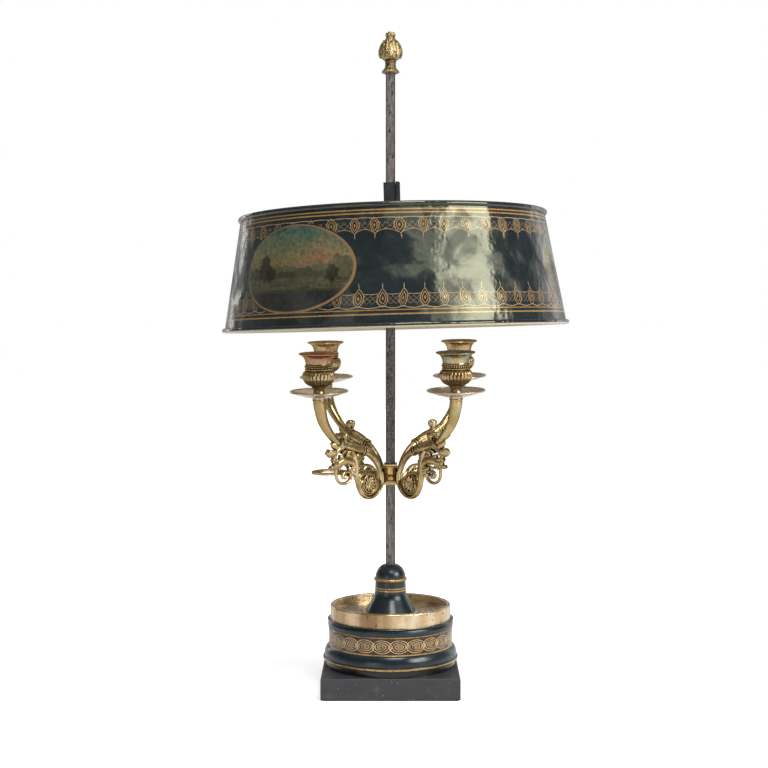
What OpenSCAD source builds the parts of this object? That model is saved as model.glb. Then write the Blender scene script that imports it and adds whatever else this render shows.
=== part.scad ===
// Bouillotte lamp: a square steel stem on a turned drum base carries a four-light
// candle cluster and a conical tole shade, and both slide on the stem.
// Millimetres, +Z up. The origin is the middle of the baize under the plinth.

/* [Plinth] */
// Side of the square plinth
plinth_w = 150.4; // [146:0.2:200]
// Height of the plinth above its baize
plinth_h = 23; // [18:0.5:40]
// Bevel along the plinth's edges
plinth_edge = 0.8; // [0.3:0.1:2]
// Thickness of the baize under the plinth
baize_t = 1; // [0.5:0.5:3]
// How far the baize stays back from the plinth's sides
baize_inset = 2; // [1:0.5:6]

/* [Drum] */
// How far the drum's bead stands out past the plinth's sides
bead_over = 0.5; // [-1:0.1:3]
// How far the dark step at the drum's foot stays back from the bead
foot_back = 3.2; // [2.7:0.1:6]
// Height of the dark step
foot_h = 6.8; // [4:0.2:10]
// Height of the bead above the step
bead_h = 4.4; // [3:0.2:6]
// How far the swelling above the bead stays back from it
swell_back = 1.5; // [0.5:0.1:3.5]
// Height of the swelling above the bead
swell_h = 12; // [8:0.5:16]
// How far the painted band stays back from the bead
band_back = 6.5; // [5.8:0.1:7.1]
// Height of the painted band
band_h = 18.6; // [12:0.2:24]
// How far the ovolo above the band stays back from the bead
ovolo_back = 5.4; // [4.8:0.1:5.6]
// Height of the ovolo above the band
ovolo_h = 8.6; // [6:0.2:12]
// How far the drum's thin top lip stays back from the bead
lip_back = 4.8; // [2.8:0.1:5.2]
// Thickness of the drum's thin top lip
lip_t = 1.3; // [1:0.1:2]
// Thickness of the drum's sheet and top plate
drum_wall = 2.2; // [1.5:0.1:3]
// Height of the neck that carries the gallery
neck_h = 6.5; // [5:0.5:10]
// Height of the iron weight inside the drum
weight_h = 18; // [8:1:30]

/* [Gallery] */
// How far the brass gallery stays back from the drum's bead
gallery_back = 8.2; // [7.2:0.1:9.6]
// Width of the gallery's rim
gallery_rim = 4.5; // [3.5:0.1:6]
// Height of the gallery above the drum's lip
gallery_h = 15.8; // [12:0.2:24]
// Thickness of the gallery's wall where it sleeves the neck
gallery_skirt = 2.3; // [1.5:0.1:3]
// Thickness of the dished tray
tray_t = 1; // [0.6:0.1:2]

/* [Spool] */
// Radius of the spool's spreading foot
spool_foot_r = 27.7; // [24:0.1:45]
// Radius of the spool's shaft
spool_r = 17.4; // [15:0.1:20]
// Height of the spreading foot
spool_foot_h = 21.8; // [18:0.2:30]
// Height of the shaft between the foot and the astragal
spool_shaft_h = 12; // [8:0.2:24]
// Radius of the half-round astragal's section
astragal_r = 1.85; // [1:0.05:2.5]
// Height of the domed cap
dome_h = 15.3; // [12:0.1:20]

/* [Stem] */
// Side of the square stem
stem_w = 10.5; // [9:0.1:11]
// Height of the stem's shoulder under the finial
stem_top = 686.6; // [640:0.2:760]
// Bevel along the stem's corners
stem_bevel = 0.6; // [0.2:0.1:1.5]
// Diameter of the stem's foot tenon
tenon_d = 9; // [7:0.5:9]
// Diameter of the stem's top tenon
top_tenon_d = 6; // [4:0.5:6.5]
// Length of the stem's top tenon
top_tenon_l = 11; // [6:0.5:12]
// Slip clearance all round the stem and its tenons
slip = 0.05; // [0.02:0.01:0.1]
// Across flats of the nut under the plinth
nut_af = 16; // [14:0.5:20]
// Height of the nut under the plinth
nut_h = 6.5; // [5:0.5:8]
// Diameter of the washer under the plinth
washer_d = 26; // [22:1:34]
// Thickness of the washer under the plinth
washer_t = 2; // [1:0.5:3]
// Depth of the recess for the nut
recess_h = 12; // [11:0.5:14]

/* [Finial] */
// Height of the finial's turned base
finial_base_h = 14.5; // [13:0.1:20]
// Radius of the finial's flange
finial_flange_r = 10.3; // [9:0.1:14]
// Height of the leafy bud
bud_h = 33.9; // [26:0.1:44]
// Largest radius of the leafy bud
bud_r = 14; // [11:0.1:18]
// Number of leaves round the bud
bud_leaves = 8; // [5:1:10]

/* [Shade] */
// Outer radius of the shade at its top edge
shade_top_r = 170; // [150:1:180]
// Outer radius of the shade at its bottom edge
shade_bottom_r = 191; // [180:1:215]
// Height of the shade along its axis
shade_h = 122; // [100:1:160]
// Height of the shade's top edge above the table
shade_top_z = 524.5; // [510:0.5:540]
// Thickness of the shade's sheet
shade_wall = 1; // [0.8:0.1:2]
// Diameter of the wired bead along both edges
rim_d = 5.5; // [4:0.1:8]
// How far the shade hangs out of level, in degrees
shade_lean = 1.6; // [0:0.1:1.8]
// How far the shade's axis stands beside the stem's
shade_offset = 2.4; // [0:0.1:2.5]

/* [Spider and sleeve] */
// Width of the spider's spokes
spoke_w = 12; // [8:0.5:18]
// Thickness of the spider's spokes
spoke_t = 2.5; // [1.5:0.1:4]
// How far the spokes lie below the shade's top edge
spoke_drop = 4; // [4:0.5:14]
// Length of the tabs that turn down against the shade
tab_h = 13; // [8:0.5:20]
// Side of the spider's square hub
hub_w = 30; // [26:0.5:44]
// Width of the sleeve from side to side
sleeve_w = 18.6; // [18.4:0.1:22]
// Depth of the sleeve from front to back
sleeve_d = 15.7; // [15:0.1:20]
// Thickness of the sleeve's side walls
sleeve_side = 1; // [0.8:0.1:1.1]
// Thickness of the sleeve's front and back walls
sleeve_front = 1.6; // [1:0.1:2]
// Height of the sleeve
sleeve_h = 62; // [40:1:64]
// Height of the sleeve's top above the shade's top edge
sleeve_rise = 39.5; // [20:0.5:44]
// Width of the open seam in the sleeve's front
seam_w = 1.1; // [0.5:0.1:2]
// Length of the wedge
wedge_l = 58; // [40:1:60]
// Thickness of the wedge's head
wedge_t = 3.8; // [2.5:0.1:3.8]
// Depth of the wedge from front to back
wedge_d = 9; // [6:0.5:11]

/* [Candle cluster] */
// Height of the middle of the collar
cluster_z = 237; // [225:1:280]
// How far the cluster leans towards the front, in degrees
cluster_lean = 4.4; // [0:0.1:4.6]
// How far the cluster hangs sideways, in degrees
cluster_side_lean = 0.8; // [0:0.1:1]
// How far the cluster is turned on the stem, in degrees
cluster_turn = 2.4; // [0:0.1:3]
// Height of the collar
collar_h = 23; // [18:0.5:24]
// Width of the collar's bore
collar_bore_w = 11.6; // [11.5:0.1:12]
// Depth of the collar's bore, long enough for the lean
collar_bore_d = 13; // [12.9:0.1:13.6]
// Wall of the collar
collar_wall = 1.1; // [0.8:0.1:1.6]
// How far the collar's two lips stand out
collar_lip = 0.6; // [0.3:0.1:1]
// Distance from the axis to the flats that carry the arms
arm_seat = 11.8; // [11.6:0.1:13]
// Distance from the axis to the front left candle socket
reach_front_left = 102; // [98:0.1:120]
// Distance from the axis to the front right candle socket
reach_front_right = 105; // [98:0.1:120]
// Distance from the axis to the back left candle socket
reach_back_left = 109.5; // [98:0.1:120]
// Distance from the axis to the back right candle socket
reach_back_right = 112; // [98:0.1:120]
// Height from the middle of the collar to the top of a horn
horn_rise = 94; // [88:1:110]
// Diameter of the ring at the top of a horn
horn_ring_d = 14.5; // [13:0.1:16]
// Width of the scrolled strap of an arm
strap_w = 7.6; // [6:0.1:8]
// Thickness of the scrolled strap of an arm
strap_t = 3.8; // [3:0.1:4.5]

/* [Drip pan and socket] */
// Radius of a drip pan
pan_r = 30.5; // [26:0.1:34]
// Depth of a drip pan
pan_depth = 6.2; // [4:0.2:9]
// Thickness of a drip pan
pan_t = 1.1; // [0.8:0.1:1.6]
// Thickness of the pan where the socket stands on it
pan_hub_t = 3.4; // [2.5:0.1:5]
// Diameter of the tenon at the top of a horn
horn_tenon_d = 6; // [4:0.5:8]
// Length of the tenon at the top of a horn
horn_tenon_l = 10; // [6:0.5:14]
// Height of a candle socket
socket_h = 46; // [40:0.5:60]
// Radius of a candle socket's rim
socket_rim_r = 21.1; // [18:0.1:24]
// Radius of the hole for the candle
candle_r = 11.2; // [9:0.1:12]
// Depth of the hole for the candle
candle_depth = 24; // [16:0.5:26]
// Radius of a candle socket's foot
socket_foot_r = 6.9; // [5.5:0.1:8]
// Largest radius of a candle socket's bulb
bulb_r = 17.7; // [16:0.1:22]
// Radius of a candle socket's waist
waist_r = 13.9; // [13.2:0.1:16]

/* [Lock key] */
// Diameter of the key's shank
key_shank_d = 5; // [4:0.1:6]
// Distance from the stem's axis to the root of the key's bow
key_shank_l = 51; // [40:1:60]
// Length of the key's pierced bow
key_bow_l = 39; // [25:1:42]
// Width of the key's pierced bow
key_bow_w = 32; // [20:1:34]
// Thickness of the key's bow
key_bow_t = 2.4; // [1.6:0.1:4]
// Running clearance all round the key's shank
key_clearance = 0.06; // [0.02:0.01:0.1]

/* [Hidden] */
$fn = 96;

// Direction and reach of the four arms round the stem, before the cluster is turned
front_left = [225, reach_front_left];
front_right = [315, reach_front_right];
back_left = [135, reach_back_left];
back_right = [45, reach_back_right];
ARMS = [front_left, front_right, back_left, back_right];

plinth_top = baize_t + plinth_h;
recess_top = baize_t + recess_h;
tenon_end = recess_top - washer_t - nut_h - 1.5;
bead_r = plinth_w / 2 + bead_over;
foot_r = bead_r - foot_back;
swell_r = bead_r - swell_back;
band_r = bead_r - band_back;
ovolo_r = bead_r - ovolo_back;
lip_r = bead_r - lip_back;
gallery_r = bead_r - gallery_back;
bead_z = plinth_top + foot_h;
swell_z = bead_z + bead_h;
band_z = swell_z + swell_h;
ovolo_z = band_z + band_h;
lip_z = ovolo_z + ovolo_h;
neck_z = lip_z + lip_t;
plate_top = neck_z + neck_h;
neck_r = gallery_r - gallery_skirt - slip;
gallery_in_r = gallery_r - gallery_rim;
tray_top = plate_top + tray_t;
stem_hole_r = stem_w / sqrt(2) + 0.3;
shaft_z = tray_top + spool_foot_h;
astragal_z = shaft_z + spool_shaft_h + astragal_r;
dome_z = astragal_z + astragal_r + 1;
dome_top_r = stem_w / sqrt(2) + 0.8;
bud_z = stem_top + finial_base_h;

shade_bottom_z = shade_top_z - shade_h;
shade_slope = (shade_bottom_r - shade_top_r) / shade_h;
spoke_top = shade_top_z - spoke_drop;
spoke_bottom = spoke_top - spoke_t;
sleeve_top = shade_top_z + sleeve_rise;

collar_w = collar_bore_w + 2 * collar_wall;
collar_d = collar_bore_d + 2 * collar_wall;
collar_bottom = cluster_z - collar_h / 2;
key_z = cluster_z + 2;
horn_top = cluster_z + horn_rise;
socket_z = horn_top + pan_hub_t;
socket_top = socket_z + socket_h;
arm_joint = [75, cluster_z + 42.5];
arm_joint_slope = 28;

// Points along an elliptical arc
function arc(cx, cy, rx, ry, a0, a1, n) =
    [for (i = [0:n]) let (a = a0 + (a1 - a0) * i / n) [cx + rx * cos(a), cy + ry * sin(a)]];

// One point of a smooth curve through rows a, b, c and d, at t between b and c
function between(a, b, c, d, t) =
    0.5 * (2 * b + (c - a) * t + (2 * a - 5 * b + 4 * c - d) * t * t
        + (3 * b - a - 3 * c + d) * t * t * t);

// Rows of numbers made smooth, with n steps from each row to the next
function smooth(rows, n) =
    let (last = len(rows) - 1)
    concat([for (i = [0:last - 1]) for (k = [0:n - 1])
        between(rows[max(i - 1, 0)], rows[i], rows[i + 1], rows[min(i + 2, last)], k / n)],
        [rows[last]]);

// Direction of a swept path at row i
function heading(rows, i) =
    let (a = rows[max(i - 1, 0)], b = rows[min(i + 1, len(rows) - 1)],
        d = [b[0] - a[0], b[1] - a[1]])
    d / norm(d);

// Solid swept in the plane of an arm along rows of [distance from the axis, height,
// thickness in the plane, width across it]
module sweep(rows, sides) {
    last = len(rows) - 1;
    points = [for (i = [0:last]) let (h = heading(rows, i)) for (k = [0:sides - 1])
        let (a = 360 * (k + 0.5) / sides, u = rows[i][2] / 2 * cos(a))
        [rows[i][0] - h[1] * u, rows[i][3] / 2 * sin(a), rows[i][1] + h[0] * u]];
    walls = [for (i = [0:last - 1]) for (k = [0:sides - 1])
        let (a = i * sides + k, b = i * sides + (k + 1) % sides)
        each [[a, b, b + sides], [a, b + sides, a + sides]]];
    ends = [[for (k = [0:sides - 1]) sides - 1 - k],
        [for (k = [0:sides - 1]) last * sides + k]];
    polyhedron(points, concat(walls, ends));
}

// Straight four-sided bar along Z with bevelled corners
module bevelled_bar(w, bevel, h) {
    s = w / 2;
    b = s - bevel;
    linear_extrude(h) polygon([[s, -b], [s, b], [b, s], [-b, s], [-s, b], [-s, -b], [-b, -s], [b, -s]]);
}

module in_shade() {
    translate([shade_offset, 0, spoke_top]) rotate([0, -shade_lean, 0])
        translate([0, 0, -spoke_top]) children();
}

module in_cluster() {
    translate([0, 0, cluster_z]) rotate([cluster_lean, -cluster_side_lean, 0])
        rotate([0, 0, -cluster_turn]) translate([0, 0, -cluster_z]) children();
}

module plinth() {
    color("#2f2f35") difference() {
        hull() {
            translate([-plinth_w / 2, -plinth_w / 2, baize_t + plinth_edge])
                cube([plinth_w, plinth_w, plinth_h - 2 * plinth_edge]);
            translate([plinth_edge - plinth_w / 2, plinth_edge - plinth_w / 2, baize_t])
                cube([plinth_w - 2 * plinth_edge, plinth_w - 2 * plinth_edge, plinth_h]);
        }
        translate([0, 0, baize_t - 1]) cylinder(d = washer_d + 4, h = recess_h + 1);
        translate([0, 0, recess_top - 1]) cylinder(d = tenon_d + 0.4, h = plinth_h);
    }
}

module plinth_baize() {
    w = plinth_w - 2 * baize_inset;
    color("#33402f") translate([-w / 2, -w / 2, 0]) cube([w, w, baize_t]);
}

module drum_shell() {
    in_r = band_r - drum_wall;
    neck_in_r = neck_r - drum_wall;
    color("#1f3338") rotate_extrude() polygon(concat(
        [[in_r, plinth_top], [foot_r, plinth_top], [foot_r, bead_z]],
        arc(bead_r - bead_h / 2, bead_z + bead_h / 2, bead_h / 2, bead_h / 2, -75, 75, 8),
        arc(band_r - 1, swell_z, swell_r - band_r + 1, swell_h, 0, 78, 9),
        [[band_r, band_z], [band_r, ovolo_z], [ovolo_r - 0.4, ovolo_z]],
        arc(ovolo_r - 2, ovolo_z + ovolo_h / 2, 2, ovolo_h / 2, -60, 75, 7),
        [[lip_r - 0.5, lip_z], [lip_r, lip_z + lip_t / 2], [lip_r - 0.4, neck_z],
            [neck_r, neck_z], [neck_r, plate_top], [stem_hole_r, plate_top],
            [stem_hole_r, plate_top - drum_wall], [neck_in_r, plate_top - drum_wall],
            [neck_in_r, neck_z - drum_wall], [in_r, neck_z - drum_wall]]));
}

module drum_weight() {
    color("#3a3a3c") translate([0, 0, plinth_top]) difference() {
        cylinder(r = band_r - drum_wall - 0.5, h = weight_h);
        translate([0, 0, -1]) cylinder(r = stem_hole_r + 0.5, h = weight_h + 2);
    }
}

module gallery_ring() {
    top = neck_z + gallery_h;
    bead = gallery_rim / 4;
    color("#b9954f") rotate_extrude() polygon(concat(
        [[neck_r + slip, neck_z], [gallery_r, neck_z], [gallery_r, top - 2 * bead]],
        arc(gallery_r - 1.3 * bead, top - 1.6 * bead, 1.3 * bead, 1.6 * bead, 10, 150, 8),
        arc(gallery_in_r + bead, top - bead, bead, bead, 40, 180, 7),
        [[gallery_in_r, plate_top + slip], [neck_r + slip, plate_top + slip]]));
}

module gallery_tray() {
    ripple_r = gallery_in_r - 4;
    color("#b48f4a") rotate_extrude() union() {
        translate([stem_hole_r, plate_top]) square([gallery_in_r - slip - stem_hole_r, tray_t]);
        translate([ripple_r, tray_top - 0.25]) circle(r = 0.7, $fn = 24);
    }
}

module stem_socket() {
    flare = 16;
    color("#1f3338") difference() {
        rotate_extrude() polygon(concat(
            [[0, tray_top], [spool_foot_r, tray_top], [spool_foot_r, tray_top + 0.7]],
            arc(spool_r + 0.3 + flare, shaft_z, flare, flare, 212, 180, 8),
            [[spool_r - 0.4, astragal_z - astragal_r]],
            arc(spool_r - 0.5, astragal_z, astragal_r, astragal_r, -80, 80, 8),
            [[spool_r - 0.6, dome_z - 0.9]],
            arc(0, dome_z, spool_r - 0.6, dome_h, 0, acos(dome_top_r / (spool_r - 0.6)), 10),
            [[0, dome_z + dome_h * sin(acos(dome_top_r / (spool_r - 0.6)))]]));
        translate([-stem_w / 2 - slip, -stem_w / 2 - slip, tray_top - 1])
            cube([stem_w + 2 * slip, stem_w + 2 * slip, dome_z + dome_h]);
    }
}

module stem() {
    color("#6b6460") union() {
        translate([0, 0, plinth_top]) bevelled_bar(stem_w, stem_bevel, stem_top - plinth_top);
        translate([0, 0, tenon_end]) cylinder(d = tenon_d, h = plinth_top - tenon_end + 1);
        translate([0, 0, stem_top - 1]) cylinder(d = top_tenon_d, h = top_tenon_l + 1);
    }
}

module stem_washer() {
    color("#5a5a5c") translate([0, 0, recess_top - washer_t]) difference() {
        cylinder(d = washer_d, h = washer_t);
        translate([0, 0, -1]) cylinder(d = tenon_d + 2 * slip, h = washer_t + 2);
    }
}

module stem_nut() {
    color("#5a5a5c") translate([0, 0, recess_top - washer_t - nut_h]) difference() {
        cylinder(d = nut_af / cos(30), h = nut_h, $fn = 6);
        translate([0, 0, -1]) cylinder(d = tenon_d + 2 * slip, h = nut_h + 2);
    }
}

module finial_base() {
    neck = 6;
    color("#a98f52") difference() {
        rotate_extrude() polygon(concat(
            [[0, stem_top], [7.2, stem_top], [finial_flange_r - 0.6, stem_top + 1.1]],
            [[finial_flange_r, stem_top + 1.9], [finial_flange_r - 0.9, stem_top + 3.2]],
            arc(neck + 3, bud_z - 4.5, 3, finial_base_h - 9, 250, 180, 8),
            [[neck, bud_z - 2.5], [neck + 0.5, bud_z - 1], [neck + 0.5, bud_z], [0, bud_z]]));
        translate([0, 0, stem_top - 1])
            cylinder(d = top_tenon_d + 2 * slip, h = top_tenon_l + 1.2);
    }
}

// Leafy bud of the finial: a turned outline whose rings are scalloped by the leaves
module finial_bud() {
    outline = [[0.45, 0], [0.66, 0.07], [0.87, 0.13], [0.98, 0.21], [1, 0.28], [0.96, 0.36],
        [0.86, 0.46], [0.68, 0.57], [0.44, 0.67], [0.36, 0.74], [0.4, 0.81], [0.33, 0.89], [0.1, 1]];
    sides = 4 * bud_leaves;
    last = len(outline) - 1;
    points = [for (i = [0:last]) for (k = [0:sides - 1])
        let (a = 360 * k / sides, swell = sin(180 * outline[i][1]),
            r = bud_r * outline[i][0] * (1 - 0.1 * swell * (1 - abs(cos(a * bud_leaves / 2)))))
        [r * cos(a), r * sin(a), bud_z + bud_h * outline[i][1]]];
    walls = [for (i = [0:last - 1]) for (k = [0:sides - 1])
        let (a = i * sides + k, b = i * sides + (k + 1) % sides)
        each [[a, b + sides, b], [a, a + sides, b + sides]]];
    ends = [[for (k = [0:sides - 1]) k],
        [for (k = [0:sides - 1]) last * sides + sides - 1 - k]];
    color("#c9b06a") polyhedron(points, concat(walls, ends));
}

// Half section of the shade's sheet in the shade's own frame
module shade_section() {
    polygon([[shade_bottom_r - shade_wall, shade_bottom_z], [shade_bottom_r, shade_bottom_z],
        [shade_top_r, shade_top_z], [shade_top_r - shade_wall, shade_top_z]]);
}

// Wired bead round an edge of the shade, slotted for the sheet
module shade_rim(r, z) {
    rotate_extrude() difference() {
        translate([r + 0.2, z]) circle(d = rim_d, $fn = 32);
        shade_section();
    }
}

module shade_skin() {
    color("#24302f") in_shade() rotate_extrude() shade_section();
}

module shade_top_rim() {
    color("#24302f") in_shade() shade_rim(shade_top_r, shade_top_z);
}

module shade_bottom_rim() {
    color("#24302f") in_shade() shade_rim(shade_bottom_r, shade_bottom_z);
}

// Solid cone that fills the shade, less a margin, between two heights
module shade_inside(z0, z1, margin) {
    r0 = shade_top_r - shade_wall + shade_slope * (shade_top_z - z0) - margin;
    r1 = shade_top_r - shade_wall + shade_slope * (shade_top_z - z1) - margin;
    translate([0, 0, z0]) cylinder(r1 = r0, r2 = r1, h = z1 - z0);
}

module shade_spider() {
    reach_w = 2 * shade_bottom_r;
    color("#2b2e30") in_shade() difference() {
        union() {
            intersection() {
                shade_inside(spoke_bottom, spoke_top, 0);
                union() for (a = [45, 135]) rotate([0, 0, a])
                    translate([-reach_w / 2, -spoke_w / 2, spoke_bottom]) cube([reach_w, spoke_w, spoke_t]);
            }
            translate([-hub_w / 2, -hub_w / 2, spoke_bottom]) cube([hub_w, hub_w, spoke_t]);
            intersection() {
                difference() {
                    shade_inside(spoke_bottom - tab_h, spoke_top, 0);
                    shade_inside(spoke_bottom - tab_h - 1, spoke_top + 1, spoke_t);
                }
                union() for (a = [45, 135]) rotate([0, 0, a])
                    translate([-reach_w / 2, -spoke_w / 2, spoke_bottom - tab_h])
                        cube([reach_w, spoke_w, tab_h + spoke_t]);
            }
        }
        translate([-sleeve_w / 2, -sleeve_d / 2, spoke_bottom - 1])
            cube([sleeve_w, sleeve_d, spoke_t + 2]);
    }
}

module shade_sleeve() {
    bore_w = sleeve_w - 2 * sleeve_side;
    bore_d = sleeve_d - 2 * sleeve_front;
    seam_x = sleeve_w / 2 - 5.9;
    color("#2b2e30") in_shade() translate([0, 0, sleeve_top - sleeve_h]) linear_extrude(sleeve_h)
        difference() {
            square([sleeve_w, sleeve_d], center = true);
            square([bore_w, bore_d], center = true);
            translate([seam_x, -sleeve_d / 2 - 1]) square([seam_w, sleeve_front + 2]);
        }
}

// Tapered wedge that stands upright between the stem and the leaning sleeve
module shade_wedge() {
    x0 = stem_w / 2 + 0.2;
    top = sleeve_top + 1.2;
    taper = 1.1;
    color("#26282a") translate([0, wedge_d / 2, 0]) rotate([90, 0, 0]) linear_extrude(wedge_d)
        polygon([[x0, top - wedge_l], [x0 + wedge_t - taper, top - wedge_l],
            [x0 + wedge_t, top - 4], [x0 + wedge_t, top], [x0, top]]);
}

module arm_collar() {
    lip_h = 2.6;
    lug_w = 6.4;
    lug_h = 15;
    bead_d = 3.4;
    color("#b98f45") in_cluster() difference() {
        union() {
            translate([-collar_w / 2, -collar_d / 2, collar_bottom]) cube([collar_w, collar_d, collar_h]);
            for (z = [collar_bottom, collar_bottom + collar_h - lip_h])
                translate([-collar_w / 2 - collar_lip, -collar_d / 2 - collar_lip, z])
                    cube([collar_w + 2 * collar_lip, collar_d + 2 * collar_lip, lip_h]);
            for (a = ARMS) rotate([0, 0, a[0]]) {
                translate([0, -lug_w / 2, cluster_z - lug_h / 2]) cube([arm_seat, lug_w, lug_h]);
                for (i = [-1.5:1:1.5])
                    translate([arm_seat - bead_d / 2 - 0.3, 0, cluster_z + i * lug_h / 4])
                        rotate([90, 0, 0]) cylinder(d = bead_d, h = lug_w + 2, center = true, $fn = 32);
            }
            translate([0, 0, key_z]) rotate([0, -90, 0])
                cylinder(d = key_shank_d + 4, h = collar_w / 2 + 4.4);
        }
        translate([-collar_bore_w / 2, -collar_bore_d / 2, collar_bottom - 1])
            cube([collar_bore_w, collar_bore_d, collar_h + 2]);
        translate([0, 0, key_z]) rotate([0, -90, 0]) cylinder(d = key_shank_d + 2 * key_clearance, h = 30);
    }
}

// Thumb key that locks the cluster on the stem: screw shank, bead and pierced bow
module lock_key() {
    tip = collar_bore_w / 2 + 0.1;
    bead_at = key_shank_l - 6;
    bow = key_shank_l + key_bow_l / 2 - 1;
    color("#a8893f") in_cluster() translate([0, 0, key_z]) union() {
        translate([-tip, 0, 0]) rotate([0, -90, 0]) cylinder(d = key_shank_d, h = key_shank_l - tip);
        translate([-bead_at, 0, 0]) rotate([0, -90, 0]) cylinder(d = key_shank_d + 2.4, h = 2.4);
        translate([-bow, 0, -key_bow_t / 2]) linear_extrude(key_bow_t) difference() {
            polygon(arc(0, 0, key_bow_l / 2, key_bow_w / 2, 0, 351, 39));
            polygon(arc(-1, 0, key_bow_l / 2 - 8, key_bow_w / 2 - 6, 0, 345, 23));
        }
    }
}

// Rows of an arm from the mouth of its leafy cup down to the collar
function arm_rows() =
    let (z = cluster_z, d = [cos(arm_joint_slope), sin(arm_joint_slope)])
    [[arm_joint[0] - 2 * d[0], arm_joint[1] - 2 * d[1], 9.6, 9.6], [67.5, z + 39.4, 8.8, 9.2],
        [57, z + 36.1, 10.4, 10.6], [46, z + 32.8, 8.6, 9], [36, z + 29, 7, 7], [27, z + 22.5, 7, 7],
        [20, z + 14, 7, 7], [15.6, z + 4.5, 6.8, 7]];

// Rows of the scroll under the collar, from its outer side round to its eye
function scroll_rows() =
    let (z = cluster_z, t = strap_t, w = strap_w)
    [[14.2, z - 6, 4.8, w], [16.4, z - 15, t, w], [22.6, z - 20.1, t, w], [31.5, z - 21.4, t, w],
        [40, z - 19, t, w], [46, z - 13.2, t, w], [48.4, z - 5.2, t, w], [45.4, z + 1.8, t, w],
        [37, z + 4.3, t, w], [28.8, z + 2, t, w], [24.6, z - 5, t, w], [28, z - 12.6, 3.4, w],
        [35, z - 14, 2.8, w], [39.6, z - 7.4, 2.2, w]];

function arm_path() =
    concat([[arm_joint[0], arm_joint[1], 10.8, 10.8]], smooth(concat(arm_rows(), scroll_rows()), 2));

module arm_sweep() {
    sweep(arm_path(), 8);
}

// One arm: leafy cup with its bud, tube, scroll and the rosette that fills the scroll
module arm(place) {
    web = [for (i = [0:10]) [scroll_rows()[i][0], scroll_rows()[i][1]]];
    bud = [67, cluster_z + 50];
    color("#a88d48") in_cluster() rotate([0, 0, place[0]]) difference() {
        union() {
            arm_sweep();
            rotate([90, 0, 0]) linear_extrude(2.6, center = true) polygon(web);
            translate([34, 0, cluster_z - 5.5]) rotate([90, 0, 0])
                for (a = [0:45:315]) rotate([0, 0, a]) hull() {
                    translate([2.4, 0, 0]) cylinder(d = 2.4, h = 4.4, center = true, $fn = 3);
                    translate([7.4, 0, 0]) cylinder(d = 5, h = 5.2, center = true, $fn = 6);
                }
            translate([bud[0], 0, bud[1]]) sphere(d = 10.2, $fn = 8);
            translate([bud[0], 0, bud[1] - 10]) cylinder(d = 6, h = 8, $fn = 8);
            translate([37, 0, cluster_z + 29.5]) rotate([0, -60, 0])
                cylinder(d = 9.4, h = 2.4, center = true, $fn = 12);
        }
        translate([-60, -40, cluster_z - 60]) cube([60 + arm_seat, 80, 120]);
    }
}

// Rows of a horn from its seat on a drip pan down to the mouth of the cup. The shares say
// how far out each row lies between the cup and the drip pan.
function horn_path(reach) =
    let (x = arm_joint[0], out = reach - x, z = horn_top, ring = horn_ring_d,
        body = horn_ring_d - 1.1, d = [cos(arm_joint_slope), sin(arm_joint_slope)])
    concat([[reach, z, ring, ring], [reach, z - 2.2, ring, ring], [reach, z - 2.7, body, body]],
    smooth([[x + 0.995 * out, z - 5.5, body, body], [x + 0.96 * out, z - 10.5, 13.2, 13.2],
        [x + 0.88 * out, z - 20.5, 12, 12], [x + 0.71 * out, z - 30.7, 10.4, 10.4],
        [x + 0.47 * out, z - 39.7, 9, 9], [x + 0.22 * out, z - 47.2, 8.2, 8.2],
        [x + 2 * d[0], arm_joint[1] + 2 * d[1], 7.8, 7.8]], 2),
    [[x, arm_joint[1], 7.8, 7.8]]);

module horn(place) {
    color("#b3a05c") in_cluster() rotate([0, 0, place[0]]) union() {
        sweep(horn_path(place[1]), 10);
        translate([place[1], 0, horn_top - 1])
            cylinder(d = horn_tenon_d, h = horn_tenon_l + 1, $fn = 32);
    }
}

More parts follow.
